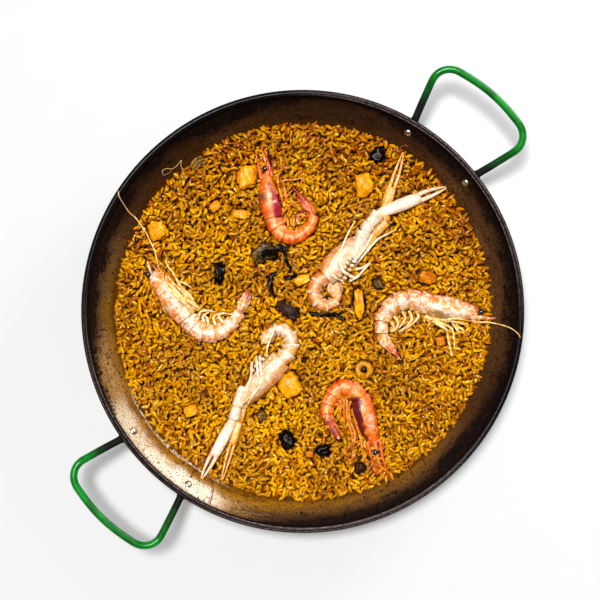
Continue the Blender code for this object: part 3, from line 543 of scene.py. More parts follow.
bright = rivet_steel()
rivet_foot = wall_point(RIVET_HEIGHT) + OUTWARD * SHEET
rivet_axes = Matrix(((SLOPE.x, 0, SLOPE.y), (0, -1, 0), (OUTWARD.x, 0, OUTWARD.y)))
leans = [math.pi / 2 * step / DOME_STEPS for step in range(DOME_STEPS + 1)]
dome = [(math.sin(lean), math.cos(lean)) for lean in leans]
for end in ("right", "left"):
    for side, turn in (("back", 1.0), ("front", -1.0)):
        azimuth = turn * RIVET_HALF_ANGLE + HANDLE_SKEW
        azimuth = azimuth if end == "right" else math.pi - azimuth
        bm = bmesh.new()
        spun(bm, [*((HEAD_RADIUS * r, OUTSIDE + HEAD_RISE * h) for r, h in dome),
                  (SHANK_RADIUS, OUTSIDE), (SHANK_RADIUS, INSIDE),
                  *((HEAD_RADIUS * r, INSIDE - HEAD_RISE * h) for r, h in reversed(dome))], RIVET_STEPS)
        spot = Matrix.Rotation(azimuth, 4, "Z") @ Matrix.Translation((rivet_foot.x, 0.0, rivet_foot.y))
        bmesh.ops.transform(bm, matrix=spot @ rivet_axes.transposed().to_4x4(), verts=bm.verts)
        bmesh.ops.recalc_face_normals(bm, faces=bm.faces)
        piece(f"rivet_{end}_{side}_head", bm, bright, "rivet_steel", f"rivet_{end}_{side}")

# ---------------------------------------------------------------------------
# The prawns: cooked whole and lying on their sides in the rice. Each has a front
# shell with a toothed beak, six plates that slide under one another, curved flaps
# under the plates and a fan of ribbed blades, all of thin shell gone orange.
# ---------------------------------------------------------------------------

RICE_LEVEL = 0.0168
REST_LEVEL = 0.0152
FLATNESS = 0.74
BODY_SIDES = 28
LINK_STEPS = 10
FRONT_LINKS = 4
CARAPACE_WIDTHS = ((0.0, 3.6), (0.14, 5.8), (0.32, 7.6), (0.5, 8.8), (0.75, 9.5), (1.0, 8.7))
CARAPACE_SIZES = [(0.0, 0.25), (0.015, 0.72), (0.04, 0.93),
                  *((0.08 + 0.92 * step / 20, 1.0) for step in range(20)),
                  (1.0, 0.995), (1.012, 0.965), (1.0, 0.92), (0.97, 0.86)]
ABDOMEN_WIDTHS = (8.2, 7.8, 7.3, 6.6, 6.0, 5.0)
PLATE_SIZES = ((0.0, 0.84), (0.1, 0.90), (0.25, 0.945), (0.4, 0.97), (0.55, 0.985), (0.7, 1.0),
               (0.82, 1.01), (0.92, 1.03), (1.0, 1.035), (1.02, 0.99), (1.0, 0.92), (0.9, 0.86))
PLATE_LENGTH = 0.009
PLATE_LEAD = 0.05
PLATE_REACH = 1.14
BELLY_WIDTHS = ((0.0, 6.6), (0.06, 7.6), (0.5, 7.0), (0.85, 5.6), (1.0, 4.4))
BELLY_STEPS = 30
BELLY_SIDES = 18
FAN_ROOT = 5.6
FAN_THICKNESS = 0.0007
FAN_LIFT = 0.0012
FAN_LAYER = 0.0009
PRAWN_FAN = (-14, 14, -7, 6, 0)
SCALE_WIDTHS = ((0.0, 2.8), (0.25, 1.9), (0.6, 1.1), (1.0, 0.35))
SCALE_THICKNESS = 0.0012
SCALE_DROP = 0.0016
BLADE_SIDES = 14
BLADE_STEPS = 6
FLAP_SIDES = 10
FLAP_STEPS = 7
BEAK_SIDES = 10
BEAK_STEPS = 6
BEAK_TEETH = 7
BEAK_LIFT = 0.0012
BROW_PLACE = 0.45
BROW_LIFT = 0.0055
EYE_RADIUS = 0.0031
EYE_LIFT = 0.001

# Places are in mm. A link is a length in mm and a bearing. The scales are the flat bases of the
# feelers, and a stain is a place, a radius, a colour and a strength.
PRAWNS = {
    "red_prawn_1": {
        "look": "red", "girth": 1.0, "front_girth": 1.0, "fan_width": 2.4,
        "head": (-36, 134), "eye": (-36.1, 137.2), "carapace": (44, -80),
        "abdomen": ((10, -73), (10, -47), (10, -14), (10, 23), (10, 45), (11, 65)),
        "fan": ((10, 110), (11, 121), (17, 130)),
        "beak": ((-33.3, 132.6), ((10.5, 102), (9.2, 106), (8.3, 103))),
        "scales": (((-40, 128), ((11, 101), (10, 103), (11, 107))),
                   ((-30, 131), ((10, 105), (8, 104), (9, 97)))),
        "flaps": (((-19.4, 83.5), ((5, 63), (6, 86))), ((-13.9, 82.1), ((5, 98), (5, 106))),
                  ((-8.7, 82.1), ((5, 90), (6, 60), (8, 0))), ((-3.6, 83.5), ((5, 113), (7, 55), (6, -30)))),
        "stains": ((-22.5, 96, 7, "crimson", 1.0), (-23.5, 103, 6, "crimson", 1.0),
                   (-26, 109, 5, "crimson", 1.0), (-29, 115, 3.6, "crimson", 0.9),
                   (-32, 121, 3, "crimson", 0.8), (-38.2, 109.8, 5, "ashen", 0.7),
                   # the two pale stains on this line are painted glints on the carapace
                   (-26.5, 105, 1.6, "blush_and_glint", 0.8), (-32, 112, 3, "blush_and_glint", 0.6)),
    },
    "red_prawn_2": {
        "look": "red", "girth": 1.1, "front_girth": 1.1, "fan_width": 2.1,
        "head": (69, -129), "eye": (70.0, -135.5), "carapace": (47, 107),
        "abdomen": ((12, 133), (10, 172), (10, 219), (10, 242), (9, 261), (8, 284)),
        "fan": ((9, 297), (10, 299), (6, 300)),
        "beak": ((69, -125), ((13, -79), (13, -74), (8, -66))),
        "scales": (((62.5, -127.5), ((12, -75), (14, -74), (12, -66))),
                   ((74.4, -125.9), ((14, -80), (14, -74), (12, -68)))),
        "flaps": (((34, -84.6), ((6, -56), (5, -68))), ((30.8, -87.8), ((6, -45), (7, -77), (6, -107))),
                  ((37.9, -83.1), ((6, -72), (8, -84))), ((42.7, -83.9), ((7, -90), (6, -80)))),
        "stains": ((49.5, -89, 8, "maroon", 1.0), (50.5, -97, 7.5, "maroon", 1.0),
                   (52.5, -105, 7, "maroon", 1.0), (55, -113, 6.5, "maroon", 1.0),
                   # the pale stains on these two lines are painted glints, the small last one on a pale tail
                   # tip
                   (58.5, -122, 5.5, "maroon", 0.9), (65, -101, 4, "blush_and_glint", 0.8),
                   (66, -109, 4, "blush_and_glint", 0.7), (34.4, -121.8, 1.5, "blush_and_glint", 1.0),
                   (24, -106, 5, "maroon", 0.6), (29, -115, 5, "maroon", 0.7)),
    },
    "pale_prawn_1": {
        "look": "pale", "girth": 1.2, "front_girth": 1.2, "fan_width": 1.9,
        "head": (-146, 38), "eye": (-148.4, 35.4), "carapace": (56, -52),
        "abdomen": ((10, -51), (11, -35), (11, -8), (11, 23), (11, 41), (12, 51)),
        "fan": ((11, 66), (9, 66), (8, 68)),
        "beak": ((-144.4, 31), ((11, 105), (8, 106))),
        "scales": (((-136.3, 32.6), ((9, 122), (9, 131))), ((-130.3, 30.6), ((10, 127), (5, 143)))),
        "flaps": (((-101.1, -6.7), ((7, 63), (8, 7), (6, -14))), ((-95, -11.7), ((7, 98), (7, 34))),
                  ((-91, -13.7), ((7, 98), (5, 143))), ((-84, -13.7), ((8, 104), (6, 35), (6, 9))),
                  ((-76.9, -10.7), ((7, 124), (5, 37), (10, -9)))),
        "stains": ((-115.5, 7, 4, "olive", 0.6), (-111.5, -12.5, 3, "olive", 0.6),
                   (-122, 14, 6, "olive", 0.35), (-129, 2, 5, "olive", 0.45),
                   (-47.5, 24, 6, "scarlet", 1.0), (-52, 15, 4, "scarlet", 0.7),
                   (-59, -1, 3, "scarlet", 0.8), (-93, -27, 3, "rose", 0.8), (-79, -29, 3, "rose", 0.8)),
    },
    "pale_prawn_2": {
        "look": "pale", "girth": 1.3, "front_girth": 1.18, "fan_width": 2.1,
        "head": (170, -2), "eye": (171.6, -0.8), "carapace": (47, 171),
        "abdomen": ((11, 158), (11, 172), (11, 192), (11, 216), (12, 240), (13, 264)),
        "fan": ((11, 285), (10, 302), (15, 311)),
        "beak": ((163, -5), ((12, -5), (11, -4))),
        "scales": (((167, -6.3), ((10, -6), (7, -6))), ((165.1, -10.2), ((12, -2), (7, -8)))),
        "flaps": (((84.5, -10.2), ((6, -55), (6, -132))), ((87.9, -4.3), ((8, -60), (7, -113), (5, -158))),
                  ((95.8, 0.6), ((8, -69), (11, -121))), ((102.6, 0.6), ((9, -74), (10, -129), (7, -146))),
                  ((108.4, 1.5), ((7, -63), (8, -126), (10, -143)))),
        "stains": ((124, -2.0, 4, "olive", 0.55), (131, -3, 4.5, "olive", 0.75), (138, -5, 4, "olive", 0.6),
                   (92, -51, 5, "scarlet", 1.0), (87.5, -44, 3, "scarlet", 0.8),
                   (101, 13, 3, "scarlet", 0.7), (108, 14, 3, "scarlet", 0.7),
                   (114, 17, 3, "rose", 0.9), (79, -1, 3, "rose", 0.9)),
    },
}
# The pale pink stains are in part a tint of the shell and in part painted glints of light.
STAINS = {"crimson": rgb(160, 14, 40), "maroon": rgb(104, 18, 26), "ashen": rgb(96, 58, 44),
          "olive": rgb(142, 112, 66), "blush_and_glint": rgb(255, 206, 180), "scarlet": rgb(214, 44, 14),
          "rose": rgb(232, 104, 52)}
LOOK_PARTS = ("back", "flank", "pale", "band", "belly", "tail", "tip", "scale", "leg")
LOOK_COLOURS = {
    "red": ((240, 84, 0), (250, 116, 0), (252, 156, 60), (204, 36, 0), (242, 130, 0), (226, 76, 4),
            (150, 4, 14), (232, 84, 0), (248, 134, 0)),
    "pale": ((246, 118, 0), (252, 160, 56), (255, 230, 198), (244, 150, 60), (248, 176, 30),
             (252, 170, 40), (222, 40, 0), (248, 172, 20), (254, 214, 90)),
    "white": ((224, 124, 4), (244, 180, 92), (255, 238, 212), (255, 252, 244), (236, 180, 92),
              (250, 176, 90), (250, 184, 90), (248, 190, 40), (255, 240, 208)),
    "ringed": ((236, 112, 0), (250, 136, 16), (254, 180, 92), (255, 252, 246), (236, 156, 60),
               (252, 182, 110), (255, 204, 146), (248, 190, 40), (255, 242, 214)),
    "orange": ((230, 112, 0), (246, 146, 0), (254, 186, 30), (255, 236, 180), (242, 136, 0),
               (242, 144, 4), (255, 184, 0), (255, 178, 0), (248, 180, 30)),
}
# The light colour, the deep colour, the shares of light, of deep and of veins, and the shade.
SHELL_FINISHES = {
    "red": (rgb(255, 180, 100), rgb(218, 54, 0), (0.40, 0.75, 0.50), 0.84),
    "pale": (rgb(255, 248, 232), rgb(244, 124, 0), (0.70, 0.50, 0.55), 0.78),
    "white": (rgb(255, 250, 242), rgb(222, 132, 20), (0.30, 0.40, 0.30), 0.77),
    "leg": (rgb(255, 250, 236), rgb(240, 140, 8), (0.40, 0.60, 0.30), 0.92),
}
LOOKS = {look: {part: rgb(*colour) for part, colour in zip(LOOK_PARTS, colours)}
         for look, colours in LOOK_COLOURS.items()}


def heading(bearing):
    """The level direction of a bearing."""
    angle = math.radians(bearing)
    return Vector((math.cos(angle), math.sin(angle), 0.0))


def walk(start, links):
    """Points from a start in mm, each a length in mm and a bearing on from the last."""
    points = [Vector((start[0], start[1], 0.0)) * MM]
    for length, bearing in links:
        points.append(points[-1] + heading(bearing) * length * MM)
    return points


def body_path(animal):
    """The middle of a body, from its head over the carapace to the end of the abdomen."""
    length, bearing = animal["carapace"]
    front = [(length / FRONT_LINKS, bearing)] * FRONT_LINKS
    return smooth_path(walk(animal["head"], [*front, *animal["abdomen"]]), LINK_STEPS)


def spot_on(path, place):
    """The point and the heading of a smooth path at a place counted in its links."""
    spot = min(max(place * LINK_STEPS, 0.0), len(path) - 1.001)
    index = int(spot)
    ahead = (path[min(index + 2, len(path) - 1)] - path[max(index - 1, 0)]).normalized()
    return path[index].lerp(path[index + 1], spot - index), ahead


def width_at(widths, share):
    """The half width in mm at a share of a body's length, from a table of shares and widths."""
    for (near, first), (far, last) in zip(widths, widths[1:]):
        if share <= far:
            return first + (last - first) * smooth((share - near) / (far - near))
    return widths[-1][1]


def level_at(point, height):
    """The point straight over or under another, at a height."""
    return Vector((point.x, point.y, height))


def new_shell():
    """An empty mesh whose vertices carry a colour of their own, the tint."""
    bm = bmesh.new()
    bm.verts.layers.float_color.new("tint")
    return bm


def paint(bm, verts, colour):
    """Gives some vertices one tint."""
    tint = bm.verts.layers.float_color["tint"]
    for vert in verts:
        vert[tint] = (*colour, 1.0)


def shell_part(bm, frames, sides, colour, section=None):
    """A closed part of a shell, its rings bent by section and coloured vertex by vertex."""
    tint = bm.verts.layers.float_color["tint"]
    rings = sweep(bm, frames, sides)
    for index, (ring, at) in enumerate(zip(rings, frames)):
        share = index / (len(rings) - 1)
        back = at.inverted()
        for vert in ring:
            spot = back @ vert.co
            if section:
                vert.co = at @ Vector(section(share, spot.x, spot.y))
            vert[tint] = (*colour(share, spot.x, spot.y, vert.co), 1.0)


def lump(bm, centre, half_sizes, turn, colour, detail=3):
    """A rounded lump, for an eye, a knuckle or the root of a leg."""
    shape = Matrix.Translation(centre) @ Matrix.Rotation(turn, 4, "Z") @ Matrix.Diagonal((*half_sizes, 1.0))
    ball = bmesh.ops.create_icosphere(bm, subdivisions=detail, radius=1.0, matrix=shape)
    paint(bm, ball["verts"], colour)


def tooth(bm, root, ahead, length, radius, colour):
    """A small spine of the shell."""
    turn = ahead.to_track_quat("Z", "Y").to_matrix().to_4x4()
    place = Matrix.Translation(root + ahead * length / 2) @ turn
    cone = bmesh.ops.create_cone(bm, cap_ends=True, segments=5, radius1=radius, radius2=radius * 0.15,
                                 depth=length, matrix=place)
    paint(bm, cone["verts"], colour)


def plate_colour(look, edge):
    """Pale along the middle, deep along the back, and a band of another colour at the rear edge."""
    def colour(share, x, y, point):
        cloud = noise.noise(point * 150) + 0.5 * noise.noise(point * 420)
        fine = noise.noise(point * 700)
        middle = 0.55 - abs(x + 0.05) * 0.7 - abs(share - 0.42) * 0.5
        made = look["flank"].lerp(look["pale"], smooth((middle + cloud * 0.9 + fine * 0.3) / 0.35))
        made = made.lerp(look["back"], smooth((-x - 0.50 + cloud * 0.4 + fine * 0.3) / 0.30))
        made = made.lerp(look["belly"], smooth((x - 0.55 + fine * 0.4) / 0.35) * 0.9)
        return made.lerp(look["band"], smooth((share - 0.62 + cloud * 0.10) / 0.08) * edge)
    return colour


def flank_section(lobe):
    """Thin towards the belly, where each plate ends in a round lobe."""
    def section(share, x, y):
        belly = smooth((x - 0.1) / 0.8)
        reach = (0.5 - share) * PLATE_LENGTH * lobe * 2 * smooth((x - 0.35) / 0.65)
        return x * (1 + 0.04 * belly), y * (1 - 0.30 * belly), reach
    return section


def abdomen(bm, path, girth, look, lobe, edge):
    """Six plates, each with its rear edge over the front of the next, and the soft belly in them."""
    for index, width in enumerate(ABDOMEN_WIDTHS):
        begin = FRONT_LINKS + index - PLATE_LEAD
        frames = []
        for share, size in PLATE_SIZES:
            point, ahead = spot_on(path, begin + share * PLATE_REACH)
            half = width * girth * MM * size
            point.z = REST_LEVEL + width * girth * MM * FLATNESS
            frames.append(ring_frame(point, ahead, half, half * FLATNESS))
        shell_part(bm, frames, BODY_SIDES, plate_colour(look, edge), flank_section(lobe))
    frames = []
    for step in range(BELLY_STEPS + 1):
        place = FRONT_LINKS - 0.3 + len(ABDOMEN_WIDTHS) * step / BELLY_STEPS
        point, ahead = spot_on(path, place)
        half = width_at(BELLY_WIDTHS, step / BELLY_STEPS) * girth * MM
        inward = Vector((-ahead.y, ahead.x, 0.0)) * half * 0.10
        point.z = REST_LEVEL + half * FLATNESS * 0.94
        ribs = 1 + 0.04 * math.sin(place * 12.0)
        frames.append(ring_frame(point + inward, ahead, half * 0.86 * ribs, half * FLATNESS * 0.86))

    def belly_colour(share, x, y, point):
        return look["belly"].lerp(look["back"], smooth(0.5 + noise.noise(point * 260) * 1.3))

    shell_part(bm, frames, BELLY_SIDES, belly_colour)


def carapace(bm, path, girth, look):
    """The front shell, with a groove across its middle and a rolled rear edge."""
    frames = []
    for share, size in CARAPACE_SIZES:
        point, ahead = spot_on(path, share * FRONT_LINKS)
        half = width_at(CARAPACE_WIDTHS, share) * girth * MM
        point.z = REST_LEVEL + half * FLATNESS
        frames.append(ring_frame(point, ahead, half * size, half * FLATNESS * size))

    def section(share, x, y):
        groove = math.exp(-((share - 0.42 - 0.10 * x) / 0.035) ** 2) * 0.06
        keel = smooth((-x - 0.7) / 0.3) * 0.04
        belly = smooth((x - 0.3) / 0.7)
        return x * (1 - groove + keel), y * (1 - groove) * (1 - 0.22 * belly), 0.0

    def colour(share, x, y, point):
        cloud = noise.noise(point * 130) + 0.4 * noise.noise(point * 420)
        fine = noise.noise(point * 620)
        streak = noise.noise(Vector((share * 3.0, x * 6.0, girth * 9)))
        middle = 0.40 - abs(x - 0.05) * 0.6
        paleness = middle + cloud * 0.8 + fine * 0.35 + streak * 0.7
        made = look["flank"].lerp(look["pale"], smooth(paleness / 0.5))
        made = made.lerp(look["back"], smooth((-x - 0.40 + cloud * 0.6 + fine * 0.4) / 0.4) * 0.95)
        made = made.lerp(look["back"], smooth((0.30 - share + streak * 0.3) / 0.25) * 0.7)
        made = made.lerp(look["belly"], smooth((x - 0.70 + fine * 0.4) / 0.25) * 0.8)
        return made.lerp(look["back"], smooth((share - 0.93) / 0.03) * 0.5)

    shell_part(bm, frames, BODY_SIDES + 4, colour, section)


def blade(bm, root, links, widths, thickness, rise, look, spread=0.0, lead=()):
    """A flat ribbed blade of the tail fan or of a feeler's base, bowed out and back in again."""
    turns = [spread * (1 - 2 * index / max(len(links) - 1, 1)) for index in range(len(links))]
    steps = walk((0, 0), [(length, bearing + turn) for (length, bearing), turn in zip(links, turns)])
    frames = []
    for share, point, ahead in along(smooth_path([*lead, *(root + step for step in steps)], BLADE_STEPS)):
        half = max(width_at(widths, share), 0.25) * MM
        spot = level_at(point, rise + thickness)
        frames.append(ring_frame(spot, ahead, half, thickness * (1.0 - 0.5 * share)))

    def section(share, x, y):
        rib = max(0.0, 1 - abs(x) * 4.0) + 0.6 * max(0.0, 1 - abs(abs(x) - 0.55) * 6.0)
        return x, y * (0.8 + 0.2 * (1 - x * x)) + (0.55 * rib if y > 0 else 0.0), 0.0

    def colour(share, x, y, point):
        cloud = noise.noise(point * 340)
        made = look["tail"].lerp(look["pale"], smooth(0.3 + cloud * 1.6 - abs(x) * 0.3) * 0.6)
        made = made.lerp(look["back"], smooth((abs(x) - 0.6) / 0.4) * 0.7)
        return made.lerp(look["tip"], smooth((share - 0.40 + cloud * 0.25) / 0.5))

    shell_part(bm, frames, BLADE_SIDES, colour, section)


def tail_fan(bm, path, links, girth, look, spreads, width):
    """Five blades on one root, each bowed by its own spread, the later ones on top."""
    root = spot_on(path, FRONT_LINKS + FAN_ROOT)[0]
    widths = ((0.0, width * 0.8 * girth), (0.45, width * girth), (0.75, width * 0.66 * girth), (1.0, 0.4))
    for order, spread in enumerate(spreads):
        rise = REST_LEVEL + FAN_LIFT + FAN_LAYER * order
        blade(bm, root, links, widths, FAN_THICKNESS, rise, look, spread)


def flap(bm, start, links, look, girth):
    """A swimming leg under a plate: a flat, curved and tapered strap."""
    frames = []
    for share, point, ahead in along(smooth_path(walk(start, links), FLAP_STEPS)):
        half = (1.35 - 0.80 * share ** 1.5) * girth * MM
        spot = level_at(point, REST_LEVEL + 0.0052 - 0.0018 * share)
        frames.append(ring_frame(spot, ahead, half, half * 0.55))

    def colour(share, x, y, point):
        made = look["leg"].lerp(look["pale"], 0.5 * smooth(1.1 - abs(x) * 1.6))
        return made.lerp(look["back"], smooth((abs(x) - 0.5) / 0.4) * 0.9)

    shell_part(bm, frames, FLAP_SIDES, colour)


def beak(bm, start, links, look, girth, level, lead=()):
    """The toothed beak over the eyes."""
    frames = []
    for share, point, ahead in along(smooth_path([*lead, *walk(start, links)], BEAK_STEPS)):
        half = (2.8 * (1 - share) ** 1.4 + 0.4) * girth * MM
        arched = level - 0.0016 * (1 - share) + 0.0006 * math.sin(share * math.pi)
        frames.append(ring_frame(level_at(point, arched), ahead, half, half * 0.6))

    def colour(share, x, y, point):
        made = look["scale"].lerp(look["pale"], 0.5 * smooth(noise.noise(point * 300) + 0.5))
        return made.lerp(look["back"], smooth(share * 1.2 - 0.3))

    shell_part(bm, frames, BEAK_SIDES, colour)
    for step in range(1, BEAK_TEETH + 1):
        at = frames[int(step / (BEAK_TEETH + 1.5) * (len(frames) - 1))]
        axes = at.to_3x3()
        leaning = axes.col[2] * 0.9 - axes.col[0].normalized() * 0.5
        tooth(bm, at @ Vector((-0.7, 0.1, 0.0)), leaning.normalized(), 0.0016 * girth, 0.0005 * girth,
              look["back"])


def stain(bm, stains):
    """Patches of another colour, ragged at their edges."""
    tint = bm.verts.layers.float_color["tint"]
    for u, v, radius, colour, strength in stains:
        for vert in bm.verts:
            away = math.hypot(vert.co.x / MM - u, vert.co.y / MM - v) / radius
            if away < 1.6:
                away += 0.3 * noise.noise(vert.co * 240)
                share = smooth((1.15 - away) / 0.45) * strength
                vert[tint] = (*Vector(vert[tint][:3]).lerp(STAINS[colour], share), 1.0)


def shell_finish(name, light, deep, shares, shade):
    """Thin cooked shell: wet, finely pitted, mottled light and deep except where it is dark."""
    lighter, deeper, veined = shares
    finish = Finish(name, Specular_IOR_Level=0.7)
    tint = finish.tag("tint")
    bare = finish.split(tint)[0].between(0.45, 0.75)
    cloud = finish.mottle(260.0, 5.0, 0.7)
    fine = finish.mottle(1000.0, 3.0).between(0.36, 0.64)
    veins = finish.mottle(330.0, 2.0, 0.5)
    colour = finish.mix(cloud.between(0.50, 0.55) * bare * lighter, tint, light)
    colour = finish.mix((1.0 - cloud.between(0.40, 0.45)) * bare * deeper, colour, deep)
    colour = finish.mix(veins.between(0.62, 0.65) * bare * veined, colour, deep)
    colour = finish.mix(1.0, colour, (shade, shade * 0.98, shade * 0.94), "MULTIPLY")
    return finish.set(Base_Color=colour, Roughness=0.13 + fine * 0.10,
                      Normal=finish.bump(cloud * 0.75 + fine * 0.25, 0.0008, 0.6))


def eye_finish():
    finish = Finish("black eye", roughness=0.12, Coat_Weight=0.8, Coat_Roughness=0.05)
    fine = finish.mottle(2500.0, 2.0)
    colour = finish.mix(fine, (0.012, 0.006, 0.008), (0.035, 0.016, 0.018))
    return finish.set(Base_Color=colour)


def topping(name, bm, material, slot, *nodes):
    """A finished piece that lies in the rice, turned from the food's axes to the pan's."""
    bmesh.ops.transform(bm, matrix=serving, verts=bm.verts)
    bmesh.ops.recalc_face_normals(bm, faces=bm.faces)
    toppings.append(piece(name, bm, material, slot, *nodes))


serving = Matrix.Rotation(SERVING_TURN, 4, "Z")
toppings = []
black_eye = eye_finish()
shells = {kind: shell_finish(kind + " shell", *values) for kind, values in SHELL_FINISHES.items()}
for name, prawn in PRAWNS.items():
    look = LOOKS[prawn["look"]]
    girth = prawn["girth"]
    path = body_path(prawn)
    bm = new_shell()
    abdomen(bm, path, girth, look, lobe=0.14, edge=0.85)
    carapace(bm, path, prawn["front_girth"], look)
    tail_fan(bm, path, prawn["fan"], girth, look, PRAWN_FAN, prawn["fan_width"])
    level = REST_LEVEL + BROW_LIFT * girth
    brow = spot_on(path, BROW_PLACE)[0]
    beak(bm, *prawn["beak"], look, girth, level + BEAK_LIFT, (brow,))
    scale_look = {**look, "tail": look["scale"], "tip": look["back"]}
    for start, links in prawn["scales"]:
        root = Vector((*start, 0.0)) * MM
        blade(bm, root, links, SCALE_WIDTHS, SCALE_THICKNESS, level - SCALE_DROP, scale_look,
              lead=(brow.lerp(root, 0.3),))
    for start, links in prawn["flaps"]:
        flap(bm, start, links, look, girth)
    stain(bm, prawn["stains"])
    topping(name + "_shell", bm, shells[prawn["look"]], prawn["look"] + "_shell", name)
    bm = new_shell()
    u, v = prawn["eye"]
    lump(bm, (u * MM, v * MM, level + EYE_LIFT), (EYE_RADIUS, EYE_RADIUS, EYE_RADIUS), 0.0, (0, 0, 0))
    topping(name + "_eyes", bm, black_eye, "dark", name)

# ---------------------------------------------------------------------------
# The langoustines: paler and longer than the prawns, on their backs and sides, so
# that the roots of the legs and the underside of the tail show. The tail is curled
# tight, and two long saw-edged claws reach to the pan's wall.
# ---------------------------------------------------------------------------

LANGOUSTINE_GIRTH = 1.25
LANGOUSTINE_FAN = (-15, 15, -7, 7, 0)
ARM_RADIUS = 0.0054
ARM_SIDES = 18
ARM_LIFT = 0.0044
ARM_LAYER = 0.0046
ARM_DROP = 0.0022
ARM_SIZES = ((0.0, 0.55), (0.06, 0.82), (0.2, 0.95), (0.5, 1.0), (0.8, 1.05), (0.95, 1.12), (1.0, 1.05),
             (1.02, 0.7))
ARM_SPINES = ((0.3, 1), (0.55, 1), (0.8, 1), (0.45, -1), (0.75, -1))
CLAW_WIDTHS = ((0.0, 2.4), (0.12, 4.4), (0.38, 5.0), (0.62, 4.4))
CLAW_OVERLAP = 0.0025
PALM_END = 0.62
PALM_FLATNESS = 0.62
PALM_STEPS = 14
PALM_SIDES = 22
SAW_TEETH = 16
FINGER_GAP = 0.9
FINGER_STEPS = 12
FINGER_SIDES = 12
KNUCKLE_HALF = (0.0030, 0.0026, 0.0026)
LEG_PAIRS = 5
LEG_ROOT_ASIDE = 0.0026
LEG_ROOT_HALF = (0.0024, 0.0018, 0.0020)
LEG_ROOT_LIFT = 0.0150

# An arm is its start and links, then its claw: the bearing, the length in mm, the side of the saw
# edge, the look, the palm's share of the length and the size.
LANGOUSTINES = {
    "langoustine_1": {
        "tail": "ringed", "tail_girth": 0.92, "fan_width": 4.2,
        "head": (52, 70), "carapace": (47, -129),
        "abdomen": ((9, -146), (10, -110), (10, -72), (9, -25), (9, 25), (8, 65)),
        "fan": ((10, 103), (9, 113)), "leg_roots": ((38, 33), (47, 49)),
        "beak": ((50, 68), ((8, 52), (7, 50))),
        "arms": ((((55, 54), ((23, 56), (18, 47), (12, 95))), 72, 60, 1, "orange", 0.42, 0.92),
                 (((49, 50), ((28, 70), (9, 50), (14, 51))), 21, 72, -1, "white", 0.64, 1.18)),
    },
    "langoustine_2": {
        "tail": "white", "tail_girth": 1.04, "fan_width": 4.0,
        "head": (-60, -90), "carapace": (58, 48),
        "abdomen": ((9, 45), (9, 66), (9, 100), (8, 138), (7, 176), (6, 205)),
        "fan": ((8, 231), (9, 228)), "leg_roots": ((-33, -44), (-46, -58)),
        "beak": ((-58, -88), ((9, -120), (8, -118))),
        "arms": ((((-51, -74), ((20, -108), (14, -108))), -106, 62, 1, "orange", 0.42, 0.74),
                 (((-57, -72), ((20, -106), (13, -108))), -118, 67, 1, "white", 0.64, 1.0)),
    },
}


def surface_under(point):
    """The height of the rice or of the pan's wall below a point."""
    foot = wall_point(RICE_LEVEL)
    return foot.y + max(math.hypot(point.x, point.y) - foot.x, 0.0) * SLOPE.y / SLOPE.x


def segment(bm, near, far, radius, look):
    """One stiff link of an arm: narrow at its root and flared at its far end, with spines."""
    ahead = (far - near).normalized()
    frames = [ring_frame(near.lerp(far, share), ahead, radius * size, radius * size * 0.85)
              for share, size in ARM_SIZES]

    def colour(share, x, y, point):
        made = look["flank"].lerp(look["pale"], smooth(0.8 + noise.noise(point * 200)))
        made = made.lerp(look["band"], smooth((abs(share - 0.5) - 0.36) / 0.12) * 0.85)
        return made.lerp(look["back"], smooth((abs(x) - 0.75) / 0.25) * 0.5)

    shell_part(bm, frames, ARM_SIDES, colour)
    side = frames[0].to_3x3().col[0].normalized()
    for share, turn in ARM_SPINES:
        root = near.lerp(far, share) + side * turn * radius * 0.85
        tooth(bm, root, (side * turn + ahead * 0.7).normalized(), radius * 0.45, radius * 0.14, look["back"])


